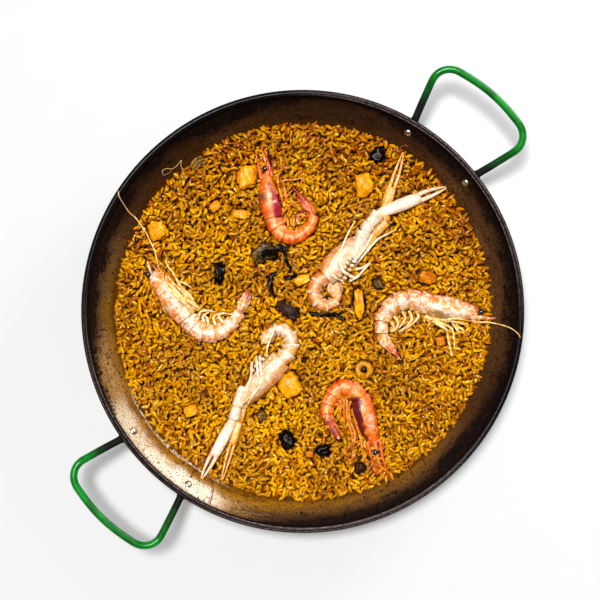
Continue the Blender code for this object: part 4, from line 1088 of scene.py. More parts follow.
def claw(bm, base, bearing, length, look, saw, palm, size):
    """A long slim palm with a saw edge, and two thin fingers that hook in at the tips."""
    ahead = heading(bearing)
    across = Vector((-ahead.y, ahead.x, 0.0))
    reach = length * MM
    tip_lift = surface_under(base + ahead * (reach + 0.003)) - RICE_LEVEL + 0.0015
    climb = Vector((0.0, 0.0, tip_lift + 0.0006))
    tilt = (ahead * reach + climb).normalized()

    def middle(share, half):
        return base + ahead * reach * share + Vector((0, 0, REST_LEVEL + 0.0006 + half)) + climb * share

    def palm_half(share):
        return width_at(CLAW_WIDTHS, share * PALM_END / palm) * size * MM

    def palm_colour(share, x, y, point):
        made = look["pale"].lerp(look["flank"], smooth(0.10 + noise.noise(point * 160)) * 0.7)
        made = made.lerp(look["back"], smooth((abs(x) - 0.80 + 0.2 * noise.noise(point * 300)) / 0.2) * 0.75)
        return made.lerp(look["back"], smooth((0.06 - share) / 0.06) * 0.6)

    def palm_section(share, x, y):
        ridge = 0.10 * max(0.0, 1 - abs(x + 0.35) * 5) + 0.10 * max(0.0, 1 - abs(x - 0.35) * 5)
        square = 1 + 0.22 * abs(x * y) * 2
        return x * square, y * square + (ridge if y > 0 else 0.0), 0.0

    frames = []
    for step in range(PALM_STEPS + 1):
        share = palm * step / PALM_STEPS
        half = palm_half(share) * (1.0 if 0 < step < PALM_STEPS else 0.7)
        frames.append(ring_frame(middle(share, half * PALM_FLATNESS), tilt, half, half * PALM_FLATNESS))
    shell_part(bm, frames, PALM_SIDES, palm_colour, palm_section)

    def finger_colour(share, x, y, point):
        made = look["pale"].lerp(look["flank"], smooth(0.2 + noise.noise(point * 200)) * 0.8)
        made = made.lerp(look["back"], smooth((abs(x) - 0.55) / 0.4) * 0.9)
        return made.lerp(look["scale"], smooth((share - 0.65) / 0.45) * 0.8)

    for side in (-1.0, 1.0):
        frames = []
        opening = 0.6 if side == saw else 1.4
        for step in range(FINGER_STEPS + 1):
            out = step / FINGER_STEPS
            share = palm - 0.10 + (1.10 - palm) * out
            thick = 2.3 - 1.7 * out ** 1.6
            offset = thick * 0.95 + FINGER_GAP * opening * math.sin(out * math.pi)
            half = thick * size * MM
            place = middle(share, half * 0.8) + across * side * offset * size * MM
            frames.append(ring_frame(place, tilt, half, half * 0.85))
        shell_part(bm, frames, FINGER_SIDES, finger_colour)
        for step in range(3, FINGER_STEPS):
            inner = frames[step] @ Vector((-side * 0.85, 0.1, 0.0))
            tooth(bm, inner, -across * side, 0.0007, 0.0004, look["back"])
        scale = 1.0 if side == saw else 0.5
        for step in range(1, SAW_TEETH + 1):
            share = palm * (0.08 + 0.90 * step / SAW_TEETH)
            half = palm_half(share)
            edge = middle(share, half * PALM_FLATNESS) + across * side * half * 0.98
            tooth(bm, edge, (across * side + ahead * 0.6).normalized(), 0.0017 * scale, 0.0007 * scale,
                  look["back"])
    lump(bm, middle(palm - 0.06, KNUCKLE_HALF[0] * size) - across * saw * 0.0023 * size,
         [half * size for half in KNUCKLE_HALF], math.radians(bearing), look["flank"], 2)


def leg_roots(bm, ends, look):
    """The round roots of the walking legs, in two rows down the underside."""
    near, far = (Vector((*end, 0.0)) * MM for end in ends)
    across = (far - near).normalized().cross(Vector((0, 0, 1)))
    for index in range(LEG_PAIRS):
        for side in (-1, 1):
            centre = near.lerp(far, index / (LEG_PAIRS - 1)) + across * side * LEG_ROOT_ASIDE
            centre.z = REST_LEVEL + LEG_ROOT_LIFT + 0.0006 * (index % 2)
            lump(bm, centre, LEG_ROOT_HALF, math.atan2(across.y, across.x) + 0.3 * side,
                 look["belly"].lerp(look["pale"], 0.3 + 0.12 * index))


for name, animal in LANGOUSTINES.items():
    look = LOOKS["white"]
    tail = LOOKS[animal["tail"]]
    path = body_path(animal)
    bm = new_shell()
    carapace(bm, path, LANGOUSTINE_GIRTH, look)
    abdomen(bm, path, animal["tail_girth"], tail, lobe=0.45, edge=1.0)
    tail_fan(bm, path, animal["fan"], LANGOUSTINE_GIRTH, tail, LANGOUSTINE_FAN, animal["fan_width"])
    beak(bm, *animal["beak"], look, LANGOUSTINE_GIRTH, REST_LEVEL + 0.006)
    leg_roots(bm, animal["leg_roots"], look)
    for order, ((start, links), bearing, length, saw, tone, palm, size) in enumerate(animal["arms"]):
        joints = walk(start, links)
        for index, joint in enumerate(joints):
            joint.z = REST_LEVEL + ARM_LIFT + ARM_LAYER * order - ARM_DROP * index / len(joints)
        for near, far in zip(joints, joints[1:]):
            segment(bm, near, far, ARM_RADIUS * size, LOOKS[tone])
        base = joints[-1] - heading(bearing) * CLAW_OVERLAP
        claw(bm, level_at(base, 0.0), bearing, length, LOOKS[tone], saw, palm, size)
    topping(name + "_shell", bm, shells["white"], "white_shell", name)

# ---------------------------------------------------------------------------
# The pieces cooked in the rice: cubes and slabs of cuttlefish, an onion slice, the
# meat of mussels, one of them in its half shell, a ring of squid, and dark scraps
# and ribbons of mussel skin. All are soft, wet and half sunk.
# ---------------------------------------------------------------------------

CHUNK_SHOWS = 0.62
CHUNK_SINK = 0.0028
CHUNK_ROUNDNESS = 0.55
SCRAP_COLOURS = ("brown", "dark", "murky", "plum")

# A piece is its place in mm, its length, width and height in mm, its bearing and its colour.
CHUNKS = {
    "cuttlefish_1": ((-53.5, 129.0), (17, 20, 12), 8, "golden"),
    "cuttlefish_2": ((-139.3, 77.7), (16, 17, 12), 20, "golden"),
    "cuttlefish_3": ((-59.5, 93.5), (17, 8, 7), -5, "golden"),
    "cuttlefish_4": ((-84.4, 101.2), (10, 8, 7), 40, "golden"),
    "cuttlefish_5": ((58.8, 121.8), (16, 20, 12), 12, "golden"),
    "cuttlefish_6": ((-12.2, -71.6), (19, 20, 12), 30, "golden"),
    "cuttlefish_7": ((-107.7, -96.1), (12, 10, 8), 15, "golden"),
    "cuttlefish_8": ((119.8, 32.0), (14, 11, 9), -20, "orange"),
    "cuttlefish_9": ((133.0, -29.0), (9, 9, 7), 10, "orange"),
    "cuttlefish_10": ((6.8, -137.9), (7, 6, 6), 0, "orange"),
    "mussel_yellow": ((-0.5, 30.4), (15, 9, 6), 24, "golden"),
    "mussel_frilled": ((-37.7, 56.5), (18, 15, 5.6), 20, "murky"),
    "dark_piece_1": ((-12.2, 0.4), (20, 9, 4.4), -35, "plum"),
    "dark_piece_2": ((-79.9, 37.1), (7, 17, 5), -8, "dark"),
    "dark_piece_3": ((-15.1, -124.4), (11, 14, 9), 10, "dark"),
    "dark_piece_4": ((18.8, -135.0), (12, 8, 7), 15, "dark"),
    "dark_piece_5": ((73.0, 150.0), (9, 12, 4.4), -30, "dark"),
    "dark_piece_6": ((73.0, 26.0), (6.5, 8, 3.6), 20, "murky"),
    "dark_piece_7": ((-39.6, -101.4), (6, 8.5, 3.6), 25, "murky"),
    "dark_piece_8": ((55.0, -151.0), (8, 8, 3.6), 15, "brown"),
}

# A ribbon is its start and links, its half width in mm and how far its first half is lifted.
STRIPS = {
    "dark_strip_1": ((-24.7, 36.9), ((7, 212), (9, -93), (11, -70)), 2.2, 0.0),
    "dark_strip_2": ((-12.6, 64.1), ((7, 225), (10, -83), (11, -59)), 2.2, 0.0),
    "dark_strip_3": ((-14.8, 31.7), ((6, 19), (4, 50)), 2.0, 0.0),
    "dark_strip_4": ((6.0, -1.6), ((15, -7), (12, -2), (9, -31)), 2.2, 0.0),
    "mussel_frilled": ((-40.0, 50.0), ((8, 60), (7, -10), (8, 40), (9, 0)), 4.2, 1.0),
}
STRIP_HALF_THICKNESS = 0.0007
STRIP_STEPS = 8
STRIP_SIDES = 14
SKIN_LIFT = 0.0012
RUFFLE = 0.0006
SEAM = 0.00001

# The plain, the deep and the pale colour, the roughness and the share of shine.
CHUNK_COLOURS = {
    "golden": (rgb(238, 158, 0), rgb(208, 112, 0), rgb(255, 200, 40), 0.16, 0.16),
    "orange": (rgb(200, 112, 0), rgb(156, 68, 0), rgb(230, 156, 14), 0.18, 0.16),
    "gilt": (rgb(200, 130, 0), rgb(150, 84, 0), rgb(232, 168, 10), 0.16, 0.16),
    "clear": (rgb(132, 90, 14), rgb(84, 52, 6), rgb(186, 146, 66), 0.24, 0.14),
    "murky": (rgb(112, 72, 10), rgb(34, 18, 4), rgb(168, 140, 86), 0.18, 0.14),
    "plum": (rgb(58, 36, 32), rgb(24, 13, 10), rgb(92, 66, 60), 0.34, 0.05),
    "brown": (rgb(50, 22, 3), rgb(10, 4, 2), rgb(110, 62, 8), 0.24, 0.06),
    "dark": (rgb(12, 6, 4), rgb(3, 2, 2), rgb(40, 22, 10), 0.12, 0.12),
}
ONION_CENTRE = (-101.0, 143.0)
ONION_TURN = math.radians(40)
ONION_LAYERS = ((-4.4, 6.2, 1.7), (-1.2, 7.6, 1.8), (2.2, 6.8, 1.7))
ONION_BOW = 1.6
ONION_STEPS = 16
ONION_HALF_THICKNESS = 0.0006
RING_CENTRE = (59.3, -56.7)
RING_RADIUS = 0.0060
RING_HALF = (0.0030, 0.0021)
RING_STEPS = 40
RING_HOLE_HALF = (0.0036, 0.0034, 0.0016)
SHELL_CENTRE = (54.5, 6.5)
SHELL_HALF = (0.0165, 0.0070, 0.0060)
SHELL_BEARING = math.radians(-84)
SHELL_THICKNESS = 0.0009
SHELL_LIFT = 0.0026
MEAT_HALF = (0.0132, 0.0046, 0.0040)


def chunk_finish(name):
    plain, deep, pale, roughness, wet = CHUNK_COLOURS[name]
    finish = Finish(name + " piece", Specular_IOR_Level=wet)
    cloud = finish.mottle(170.0, 5.0, 0.7)
    fine = finish.mottle(700.0, 3.0)
    colour = finish.mix(cloud.between(0.42, 0.60), plain, deep)
    colour = finish.mix(fine.between(0.52, 0.66) * 0.7, colour, pale)
    return finish.set(Base_Color=colour, Roughness=roughness + fine * 0.12,
                      Normal=finish.bump(cloud + fine * 0.2, 0.0012, 0.45))


def soft_block(half_sizes, roundness, uneven, seed, cuts=7, torn=0.0):
    """A block with its corners rounded off and its faces swollen, dented and torn."""
    bm = bmesh.new()
    bmesh.ops.create_cube(bm, size=2.0)
    bmesh.ops.subdivide_edges(bm, edges=bm.edges, cuts=cuts, use_grid_fill=True)
    offset = Vector((seed * 7.1, seed * 3.3, seed * 1.7))
    for vert in bm.verts:
        ball = vert.co.normalized() * 1.12
        place = vert.co.lerp(ball, roundness)
        swell = 1 + uneven * noise.noise(place * 1.3 + offset)
        swell += uneven * 0.5 * noise.noise(place * 3 + offset) + torn * noise.noise(place * 5 + offset)
        vert.co = Vector([value * swell * half for value, half in zip(place, half_sizes)])
    return bm


def laid(place, height, turn):
    """The frame of a piece laid down at a place in mm, and turned."""
    return Matrix.Translation((place[0] * MM, place[1] * MM, height)) @ Matrix.Rotation(turn, 4, "Z")


finishes = {name: chunk_finish(name) for name in CHUNK_COLOURS}
for number, (name, (place, sizes, turn, colour)) in enumerate(CHUNKS.items()):
    length, width, height = sizes
    solid_height = height * MM * CHUNK_SHOWS + CHUNK_SINK
    half_sizes = (length * MM / 2, width * MM / 2, solid_height / 2)
    scrap = colour in SCRAP_COLOURS
    uneven, torn = (0.62, 0.34) if scrap else (0.34, 0.0)
    bm = soft_block(half_sizes, CHUNK_ROUNDNESS, uneven, seed=number + 1, torn=torn)
    at = laid(place, RICE_LEVEL - CHUNK_SINK + solid_height / 2, math.radians(turn))
    bmesh.ops.transform(bm, matrix=at, verts=bm.verts)
    topping(name + "_meat", bm, finishes[colour], "brown" if scrap else colour, name)

for name, (start, links, half_width, lift) in STRIPS.items():
    frames = []
    for share, point, ahead in along(smooth_path(walk(start, links), STRIP_STEPS)):
        ruffle = noise.noise(Vector((point.x * 260, point.y * 260, len(links))))
        half = half_width * MM * (0.35 + 0.65 * math.sin(math.pi * (0.12 + 0.76 * share)) + 0.7 * ruffle)
        lifted = 0.0028 * lift * (1 - smooth((share - 0.35) / 0.3))
        spot = level_at(point, RICE_LEVEL + SKIN_LIFT + RUFFLE * ruffle + lifted)
        up = Vector((0.5 * math.sin(share * 11), 0.4 * math.cos(share * 7), 1.0)).normalized()
        frames.append(ring_frame(spot, ahead, half, STRIP_HALF_THICKNESS, up))
    bm = bmesh.new()
    sweep(bm, frames, STRIP_SIDES)
    for vert in bm.verts:
        vert.co.z += RUFFLE * noise.noise(vert.co * 500)
    topping(name + "_ribbon", bm, finishes["dark"], "dark", name)

bm = bmesh.new()
onion = laid(ONION_CENTRE, 0.0, ONION_TURN)
tipped = Vector((0.25, -0.3, 1.0)).normalized()
for side, half_length, half_width in ONION_LAYERS:
    shares = [2 * step / ONION_STEPS - 1 for step in range(ONION_STEPS + 1)]
    path = [onion @ (Vector((half_length * share, side + ONION_BOW * (1 - share * share), 0.0)) * MM)
            for share in shares]
    frames = []
    for share, point, ahead in along(path):
        half = half_width * MM * (0.45 + 0.55 * math.sin(math.pi * (0.1 + 0.8 * share)))
        spot = level_at(point, RICE_LEVEL + SKIN_LIFT + RUFFLE * noise.noise(point * 240))
        frames.append(ring_frame(spot, ahead, half, ONION_HALF_THICKNESS, tipped))
    sweep(bm, frames, STRIP_SIDES)
topping("onion_slice_layers", bm, finishes["clear"], "clear", "onion_slice")

bm = bmesh.new()
ring_place = Vector((*RING_CENTRE, 0.0)) * MM + Vector((0, 0, RICE_LEVEL))
frames = []
for step in range(RING_STEPS + 1):
    angle = 2 * math.pi * step / RING_STEPS
    out = Vector((math.cos(angle), math.sin(angle), 0.0))
    swell = 1 + 0.12 * math.sin(angle * 3 + 1)
    frames.append(ring_frame(ring_place + out * RING_RADIUS, Vector((-out.y, out.x, 0.0)),
                             RING_HALF[0] * swell, RING_HALF[1] * (1 + 0.2 * math.sin(angle * 2))))
sweep(bm, frames, STRIP_SIDES, caps=False)
bmesh.ops.remove_doubles(bm, verts=bm.verts, dist=SEAM)
topping("squid_ring_meat", bm, finishes["gilt"], "orange", "squid_ring")
bm = new_shell()
lump(bm, ring_place - Vector((0, 0, 0.0010)), RING_HOLE_HALF, 0.0, (0, 0, 0))
topping("squid_ring_hole", bm, finishes["dark"], "dark", "squid_ring")

bm = bmesh.new()
bmesh.ops.create_uvsphere(bm, u_segments=36, v_segments=20, radius=1.0)
bmesh.ops.bisect_plane(bm, geom=[*bm.verts, *bm.edges, *bm.faces], dist=SEAM, plane_co=(0, 0, 0),
                       plane_no=(0, 0, 1), clear_outer=True)
for vert in bm.verts:
    pointed = 1 - 0.32 * smooth((vert.co.x + 0.2) / 1.2)
    ridge = 1 + 0.010 * math.sin(vert.co.length * 3 + vert.co.x * 26)
    vert.co = Vector((vert.co.x * SHELL_HALF[0], vert.co.y * SHELL_HALF[1] * pointed * ridge,
                      vert.co.z * SHELL_HALF[2] * ridge))
bmesh.ops.solidify(bm, geom=bm.faces, thickness=SHELL_THICKNESS)
at = laid(SHELL_CENTRE, RICE_LEVEL + SHELL_LIFT, SHELL_BEARING)
bmesh.ops.transform(bm, matrix=at, verts=bm.verts)
topping("mussel_half_shell", bm, finishes["dark"], "dark", "mussel_shell")
bm = soft_block(MEAT_HALF, roundness=0.9, uneven=0.42, seed=31, cuts=9)
bmesh.ops.transform(bm, matrix=at, verts=bm.verts)
topping("mussel_in_shell", bm, finishes["golden"], "golden", "mussel_meat")

# ---------------------------------------------------------------------------
# The rice: short-grained rice cooked in saffron stock and oil. Whole grains lie on a packed
# bed, painted dark as sauce and as the shade in the gaps between them, and they are laid here
# one by one, each on those below it, up to what lies on the rice and to the pan's wall.
# ---------------------------------------------------------------------------

BED_LEVEL = 0.0118
BED_RISE = 0.0005
BED_SWELL = 0.0009
BED_ROUGHNESS = 0.0006
BED_RINGS = 60
BED_STEPS = 120
RICE_MAP_CELL = 0.0008
RICE_MAP_HALF = 0.192
RICE_MAP_SIZE = int(2 * RICE_MAP_HALF / RICE_MAP_CELL)
RICE_REACH = 0.1812
CEILING_REACH = 0.06
THIN_SIDE = math.radians(150) + SERVING_TURN
GRAIN_COUNT = 19000
GRAIN_HALF = (0.0042, 0.00148, 0.00136)
GRAIN_SPOTS = (-0.84, -0.5, -0.17, 0.17, 0.5, 0.84)
STEEPEST = 0.9
CLEARANCE = 0.0002
SINK_DEPTH = 0.0032
GRAIN_SQUEEZE = 0.35
RICE_SEED = 11
GRAIN_KINDS = ("plump", "slim", "bent", "broken", "curved")


# Painted shade: the packed bed under the grains is near black, with some dark sauce brown, so that the gaps
# between the grains read as shade.
def rice_bed_shade_finish():
    finish = Finish("rice bed and gap shade", roughness=0.6, Specular_IOR_Level=0.1)
    fine = finish.mottle(420.0, 3.0)
    colour = finish.mix(fine, (0.004, 0.001, 0.0002), (0.07, 0.015, 0.0002))
    return finish.set(Base_Color=colour, Normal=finish.bump(fine, 0.0012, 0.9))


def grain_finish():
    """Each grain's own mark holds how deep its colour is and how toasted it is, both darker on sunk grains
    for sauce and painted shade, and a chance share.
    """
    finish = Finish("saffron rice", Specular_IOR_Level=0.04, Coat_Roughness=0.09, Coat_IOR=1.7)
    deep, toast, chance = finish.split(finish.tag("mark"))
    fine = finish.mottle(650.0, 3.0).between(0.35, 0.65)
    cloud = finish.mottle(30.0, 4.0, 0.6).between(0.40, 0.62)
    colour = finish.mix(deep, (1.0, 0.50, 0.0002), (0.46, 0.088, 0.0002))
    colour = finish.mix(fine * 0.35, colour, (0.38, 0.072, 0.0002))
    colour = finish.mix(toast, colour, (0.10, 0.015, 0.0002))
    colour = finish.mix(cloud * 0.42, colour, (0.20, 0.031, 0.0002))
    colour = finish.mix(chance.between(0.95, 0.98) * 0.4, colour, (1.0, 0.66, 0.02))
    wet = cloud * 0.22 + chance.between(0.45, 0.70) * 0.66
    return finish.set(Base_Color=colour, Roughness=0.34 + fine * 0.2, Coat_Weight=wet,
                      Normal=finish.bump(fine, 0.0006, 0.7))


def cells(values):
    """The rows or the columns of the rice map, one for each of an array of places."""
    return np.clip(((values + RICE_MAP_HALF) / RICE_MAP_CELL).astype(int), 0, RICE_MAP_SIZE - 1)


def bed_swell(x, y):
    """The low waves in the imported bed."""
    return BED_SWELL * np.sin(x * 41 + 1.0) * np.sin(y * 47)


def toppings_tree():
    """All that lies on the rice, to be found by rays."""
    verts = []
    faces = []
    for topping in toppings:
        base = len(verts)
        verts.extend(vert.co for vert in topping.data.vertices)
        faces.extend([base + index for index in face.vertices] for face in topping.data.polygons)
    return BVHTree.FromPolygons(verts, faces)


def toppings_underside(tree):
    """For each cell of the rice map, the height of the lowest topping over it."""
    ceiling = np.full((RICE_MAP_SIZE, RICE_MAP_SIZE), 1.0)
    up = Vector((0, 0, 1))
    for row in range(RICE_MAP_SIZE):
        for column in range(RICE_MAP_SIZE):
            start = Vector((-RICE_MAP_HALF + (row + 0.5) * RICE_MAP_CELL,
                            -RICE_MAP_HALF + (column + 0.5) * RICE_MAP_CELL, 0.0))
            hit = tree.ray_cast(start, up, CEILING_REACH)[0]
            if hit:
                ceiling[row, column] = hit.z
    return ceiling


def lay_grains(ceiling, rng):
    """Drops grains one by one, each to rest on the two highest spots below it. Gives those that show
    and the height of the rice over the map."""
    axis = -RICE_MAP_HALF + (np.arange(RICE_MAP_SIZE) + 0.5) * RICE_MAP_CELL
    cell_x, cell_y = np.meshgrid(axis, axis, indexing="ij")
    wall = (np.hypot(cell_x, cell_y) - wall_point(0.0).x) * SLOPE.y / SLOPE.x
    height = np.maximum(BED_LEVEL + bed_swell(cell_x, cell_y), wall + CLEARANCE)
    print_u, print_v = np.meshgrid(np.linspace(-0.95, 0.95, 12), np.linspace(-0.9, 0.9, 6), indexing="ij")
    print_u = print_u.ravel()
    print_v = print_v.ravel()
    dome = np.sqrt(np.clip(1 - print_u ** 2 - print_v ** 2, 0.0, 1.0))
    inside = (print_u ** 2 + print_v ** 2) < 1.0
    grains = []
    for _ in range(GRAIN_COUNT):
        best = None
        for _ in range(2):
            angle = rng.uniform(0, 2 * math.pi)
            reach = RICE_REACH - 0.0018 * max(0.0, math.cos(angle - THIN_SIDE))
            radius = reach * math.sqrt(rng.random())
            x, y = radius * math.cos(angle), radius * math.sin(angle)
            row, column = cells(np.array([x, y]))
            level = height[row, column]
            if best is None or level < best[2]:
                best = (x, y, level)
        x, y, _ = best
        heading_angle = rng.uniform(0, math.pi)
        scale = rng.normal(1.0, 0.09)
        half_length = GRAIN_HALF[0] * scale
        half_width = GRAIN_HALF[1] * rng.normal(1.0, 0.06)
        half_height = GRAIN_HALF[2] * rng.normal(1.0, 0.06)
        cos, sin = math.cos(heading_angle), math.sin(heading_angle)
        spots = np.array(GRAIN_SPOTS) * half_length
        floor = height[cells(x + spots * cos), cells(y + spots * sin)]
        left = int(np.argmax(floor[:3]))
        right = 3 + int(np.argmax(floor[3:]))
        pitch = (floor[right] - floor[left]) / (spots[right] - spots[left])
        pitch = max(-STEEPEST, min(STEEPEST, pitch + rng.normal(0.0, 0.05)))
        base = float(np.max(floor - pitch * spots))
        centre = base + half_height * (1 - GRAIN_SQUEEZE)
        level_x = x + print_u * half_length * cos - print_v * half_width * sin
        level_y = y + print_u * half_length * sin + print_v * half_width * cos
        rows = cells(level_x)[inside]
        columns = cells(level_y)[inside]
        top = (centre + pitch * print_u * half_length + dome * half_height)[inside]
        if np.any(top > ceiling[rows, columns] - CLEARANCE):
            continue
        height[rows, columns] = np.maximum(height[rows, columns], top)
        grain = (x, y, centre, heading_angle, math.atan(pitch), half_length, half_width, half_height)
        grains.append((grain, rows, columns, top))
    shown = [grain for grain, rows, columns, top in grains
             if np.count_nonzero(top >= height[rows, columns] - 0.0001) > 2]
    return shown, height


def grain_shape(kind):
    """One blunt grain, 2 long on X, and plump, slim, bent, broken or curved by its kind."""
    bm = bmesh.new()
    bmesh.ops.create_uvsphere(bm, u_segments=6, v_segments=5, radius=1.0,
                              matrix=Matrix.Rotation(math.pi / 2, 4, "Y"))
    for vert in bm.verts:
        x = vert.co.x
        blunt = 1.0 + 0.16 * (1 - abs(x)) * abs(x) * 4
        vert.co.y *= blunt
        vert.co.z *= blunt
        if kind == "slim":
            vert.co.y *= 0.86 + 0.12 * x
        if kind in ("bent", "curved"):
            vert.co.y += (0.55 if kind == "bent" else -0.35) * (x * x - 0.35)
        if kind == "broken":
            vert.co.x = max(x, -0.55) * 0.9
        if kind == "plump":
            vert.co.y *= 1.08
    bmesh.ops.triangulate(bm, faces=bm.faces)
    points = np.array([vert.co[:] for vert in bm.verts])
    bm.verts.index_update()
    faces = np.array([[vert.index for vert in face.verts] for face in bm.faces])
    bm.free()
    return points, faces


def toasting(x, y):
    """How brown the rice is at a place: more at the top and towards the pan's wall."""
    broad = noise.noise(Vector((x * 14, y * 14, 2.7)))
    cloud = broad * 0.5 + noise.noise(Vector((x * 40, y * 40, 9.1))) * 0.3
    across = x * math.cos(SERVING_TURN) + y * math.sin(SERVING_TURN)
    up = -x * math.sin(SERVING_TURN) + y * math.cos(SERVING_TURN)
    edge = smooth((math.hypot(x, y) - 0.135) / 0.04)
    return min(max(0.06 + up * 1.2 + across * 0.5 + cloud * 0.5 + edge * 0.28, 0.0), 1.0)


def grain_piece(name, grains, kind, material, rng):
    """All grains of one kind as one mesh, each with its own colour in its mark."""
    points, faces = grain_shape(kind)
    count = len(points)
    all_points = np.empty((len(grains) * count, 3))
    marks = np.empty((len(grains) * count, 4), dtype=np.float32)
    for index, (x, y, z, turn, pitch, length, width, height) in enumerate(grains):
        roll = rng.uniform(-0.5, 0.5)
        axes = Matrix.Rotation(turn, 3, "Z") @ Matrix.Rotation(-pitch, 3, "Y")
        axes = axes @ Matrix.Rotation(roll, 3, "X")
        placed = (points * (length, width, height)) @ np.array(axes).T + (x, y, z)
        all_points[index * count:(index + 1) * count] = placed
        brown = toasting(x, y)
        row, column = cells(np.array([x, y]))
        # Painted shade: grains lying below the top of the rice around them are made deeper and more toasted,
        # partly for sauce soaked into them and partly for the shade they lie in.
        soaked_and_shaded = min(max((rice_top[row, column] - z) / SINK_DEPTH - 0.6, 0.0), 0.8)
        toast = rng.beta(1.2, 5.0) * 0.5 + (rng.random() < 0.06) * 0.40
        mark = (min(max(rng.normal(0.14 + 0.60 * brown, 0.30) + 0.4 * soaked_and_shaded, 0), 1),
                min(toast * (0.5 + brown) + 0.4 * soaked_and_shaded, 1.0), rng.random(), 1.0)
        marks[index * count:(index + 1) * count] = mark
    offsets = (np.arange(len(grains)) * count)[:, None, None]
    all_faces = (faces[None, :, :] + offsets).reshape(-1, 3)
    mesh = bpy.data.meshes.new(name)
    mesh.vertices.add(len(all_points))
    mesh.vertices.foreach_set("co", all_points.ravel())
    mesh.loops.add(all_faces.size)
    mesh.loops.foreach_set("vertex_index", all_faces.ravel())
    mesh.polygons.add(len(all_faces))
    mesh.polygons.foreach_set("loop_start", np.arange(len(all_faces)) * 3)
    mesh.update(calc_edges=True)
    attribute = mesh.attributes.new("mark", "FLOAT_COLOR", "POINT")
    attribute.data.foreach_set("color", marks.ravel())
    mesh.shade_smooth()
    mesh.materials.append(material)
    made = set_out(name, mesh)
    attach(made, "root")


rng = np.random.default_rng(RICE_SEED)
bm = bmesh.new()
bed_bend = arc(bend, CORNER_RADIUS - GAP, -math.pi / 2, WALL_ANGLE, CORNER_STEPS)
bed_edge = wall_point(BED_LEVEL + BED_RISE, GAP)
bed_top = Vector((0.0, BED_LEVEL + BED_RISE))
bed_middle = Vector((0.0, bed_bend[0].y))
bed_profile = [bed_top, *runs(bed_top, bed_edge, BED_RINGS), bed_edge, *reversed(bed_bend), bed_middle]
spun(bm, bed_profile, BED_STEPS)
for vert in bm.verts:
    if vert.co.z > BED_LEVEL:
        rough = noise.noise(vert.co * 300) + 0.5 * noise.noise(vert.co * 700)
        vert.co.z += bed_swell(vert.co.x, vert.co.y) - BED_SWELL + BED_ROUGHNESS * rough
piece("rice_bed", bm, rice_bed_shade_finish(), "rice", "rice")
over_rice = toppings_tree()
grains, rice_top = lay_grains(toppings_underside(over_rice), rng)
saffron = grain_finish()
for number, kind in enumerate(GRAIN_KINDS):
    grain_piece("rice_grains_" + kind, grains[number::len(GRAIN_KINDS)], kind, saffron, rng)

# ---------------------------------------------------------------------------
# The walking legs and feelers: thin jointed tubes of the same shell. Cooked stiff,
# they lie loose over the rice and the bodies, and some reach up the pan's wall.
# ---------------------------------------------------------------------------

LEG_SIDES = 9
LEG_STEP = 0.0011
LIMB_ROOT_LIFT = 0.004
LIMB_SAG = 0.003
LOOK_DOWN_FROM = 0.08
KNUCKLE_SPREAD = 0.0013
KNUCKLE_SWELL = 0.35
LIMB_TONES = {"orange": (rgb(236, 116, 0), rgb(252, 168, 24), rgb(206, 70, 0)),
              "red": (rgb(196, 40, 18), rgb(232, 104, 40), rgb(120, 14, 16)),
              "yellow": (rgb(250, 200, 70), rgb(255, 240, 190), rgb(240, 162, 8)),
              "cream": (rgb(252, 232, 196), rgb(255, 250, 240), rgb(244, 186, 50)),
              "tan": (rgb(160, 120, 64), rgb(208, 176, 120), rgb(112, 78, 34)),
              "dark": (rgb(120, 26, 10), rgb(160, 50, 20), rgb(90, 14, 6))}

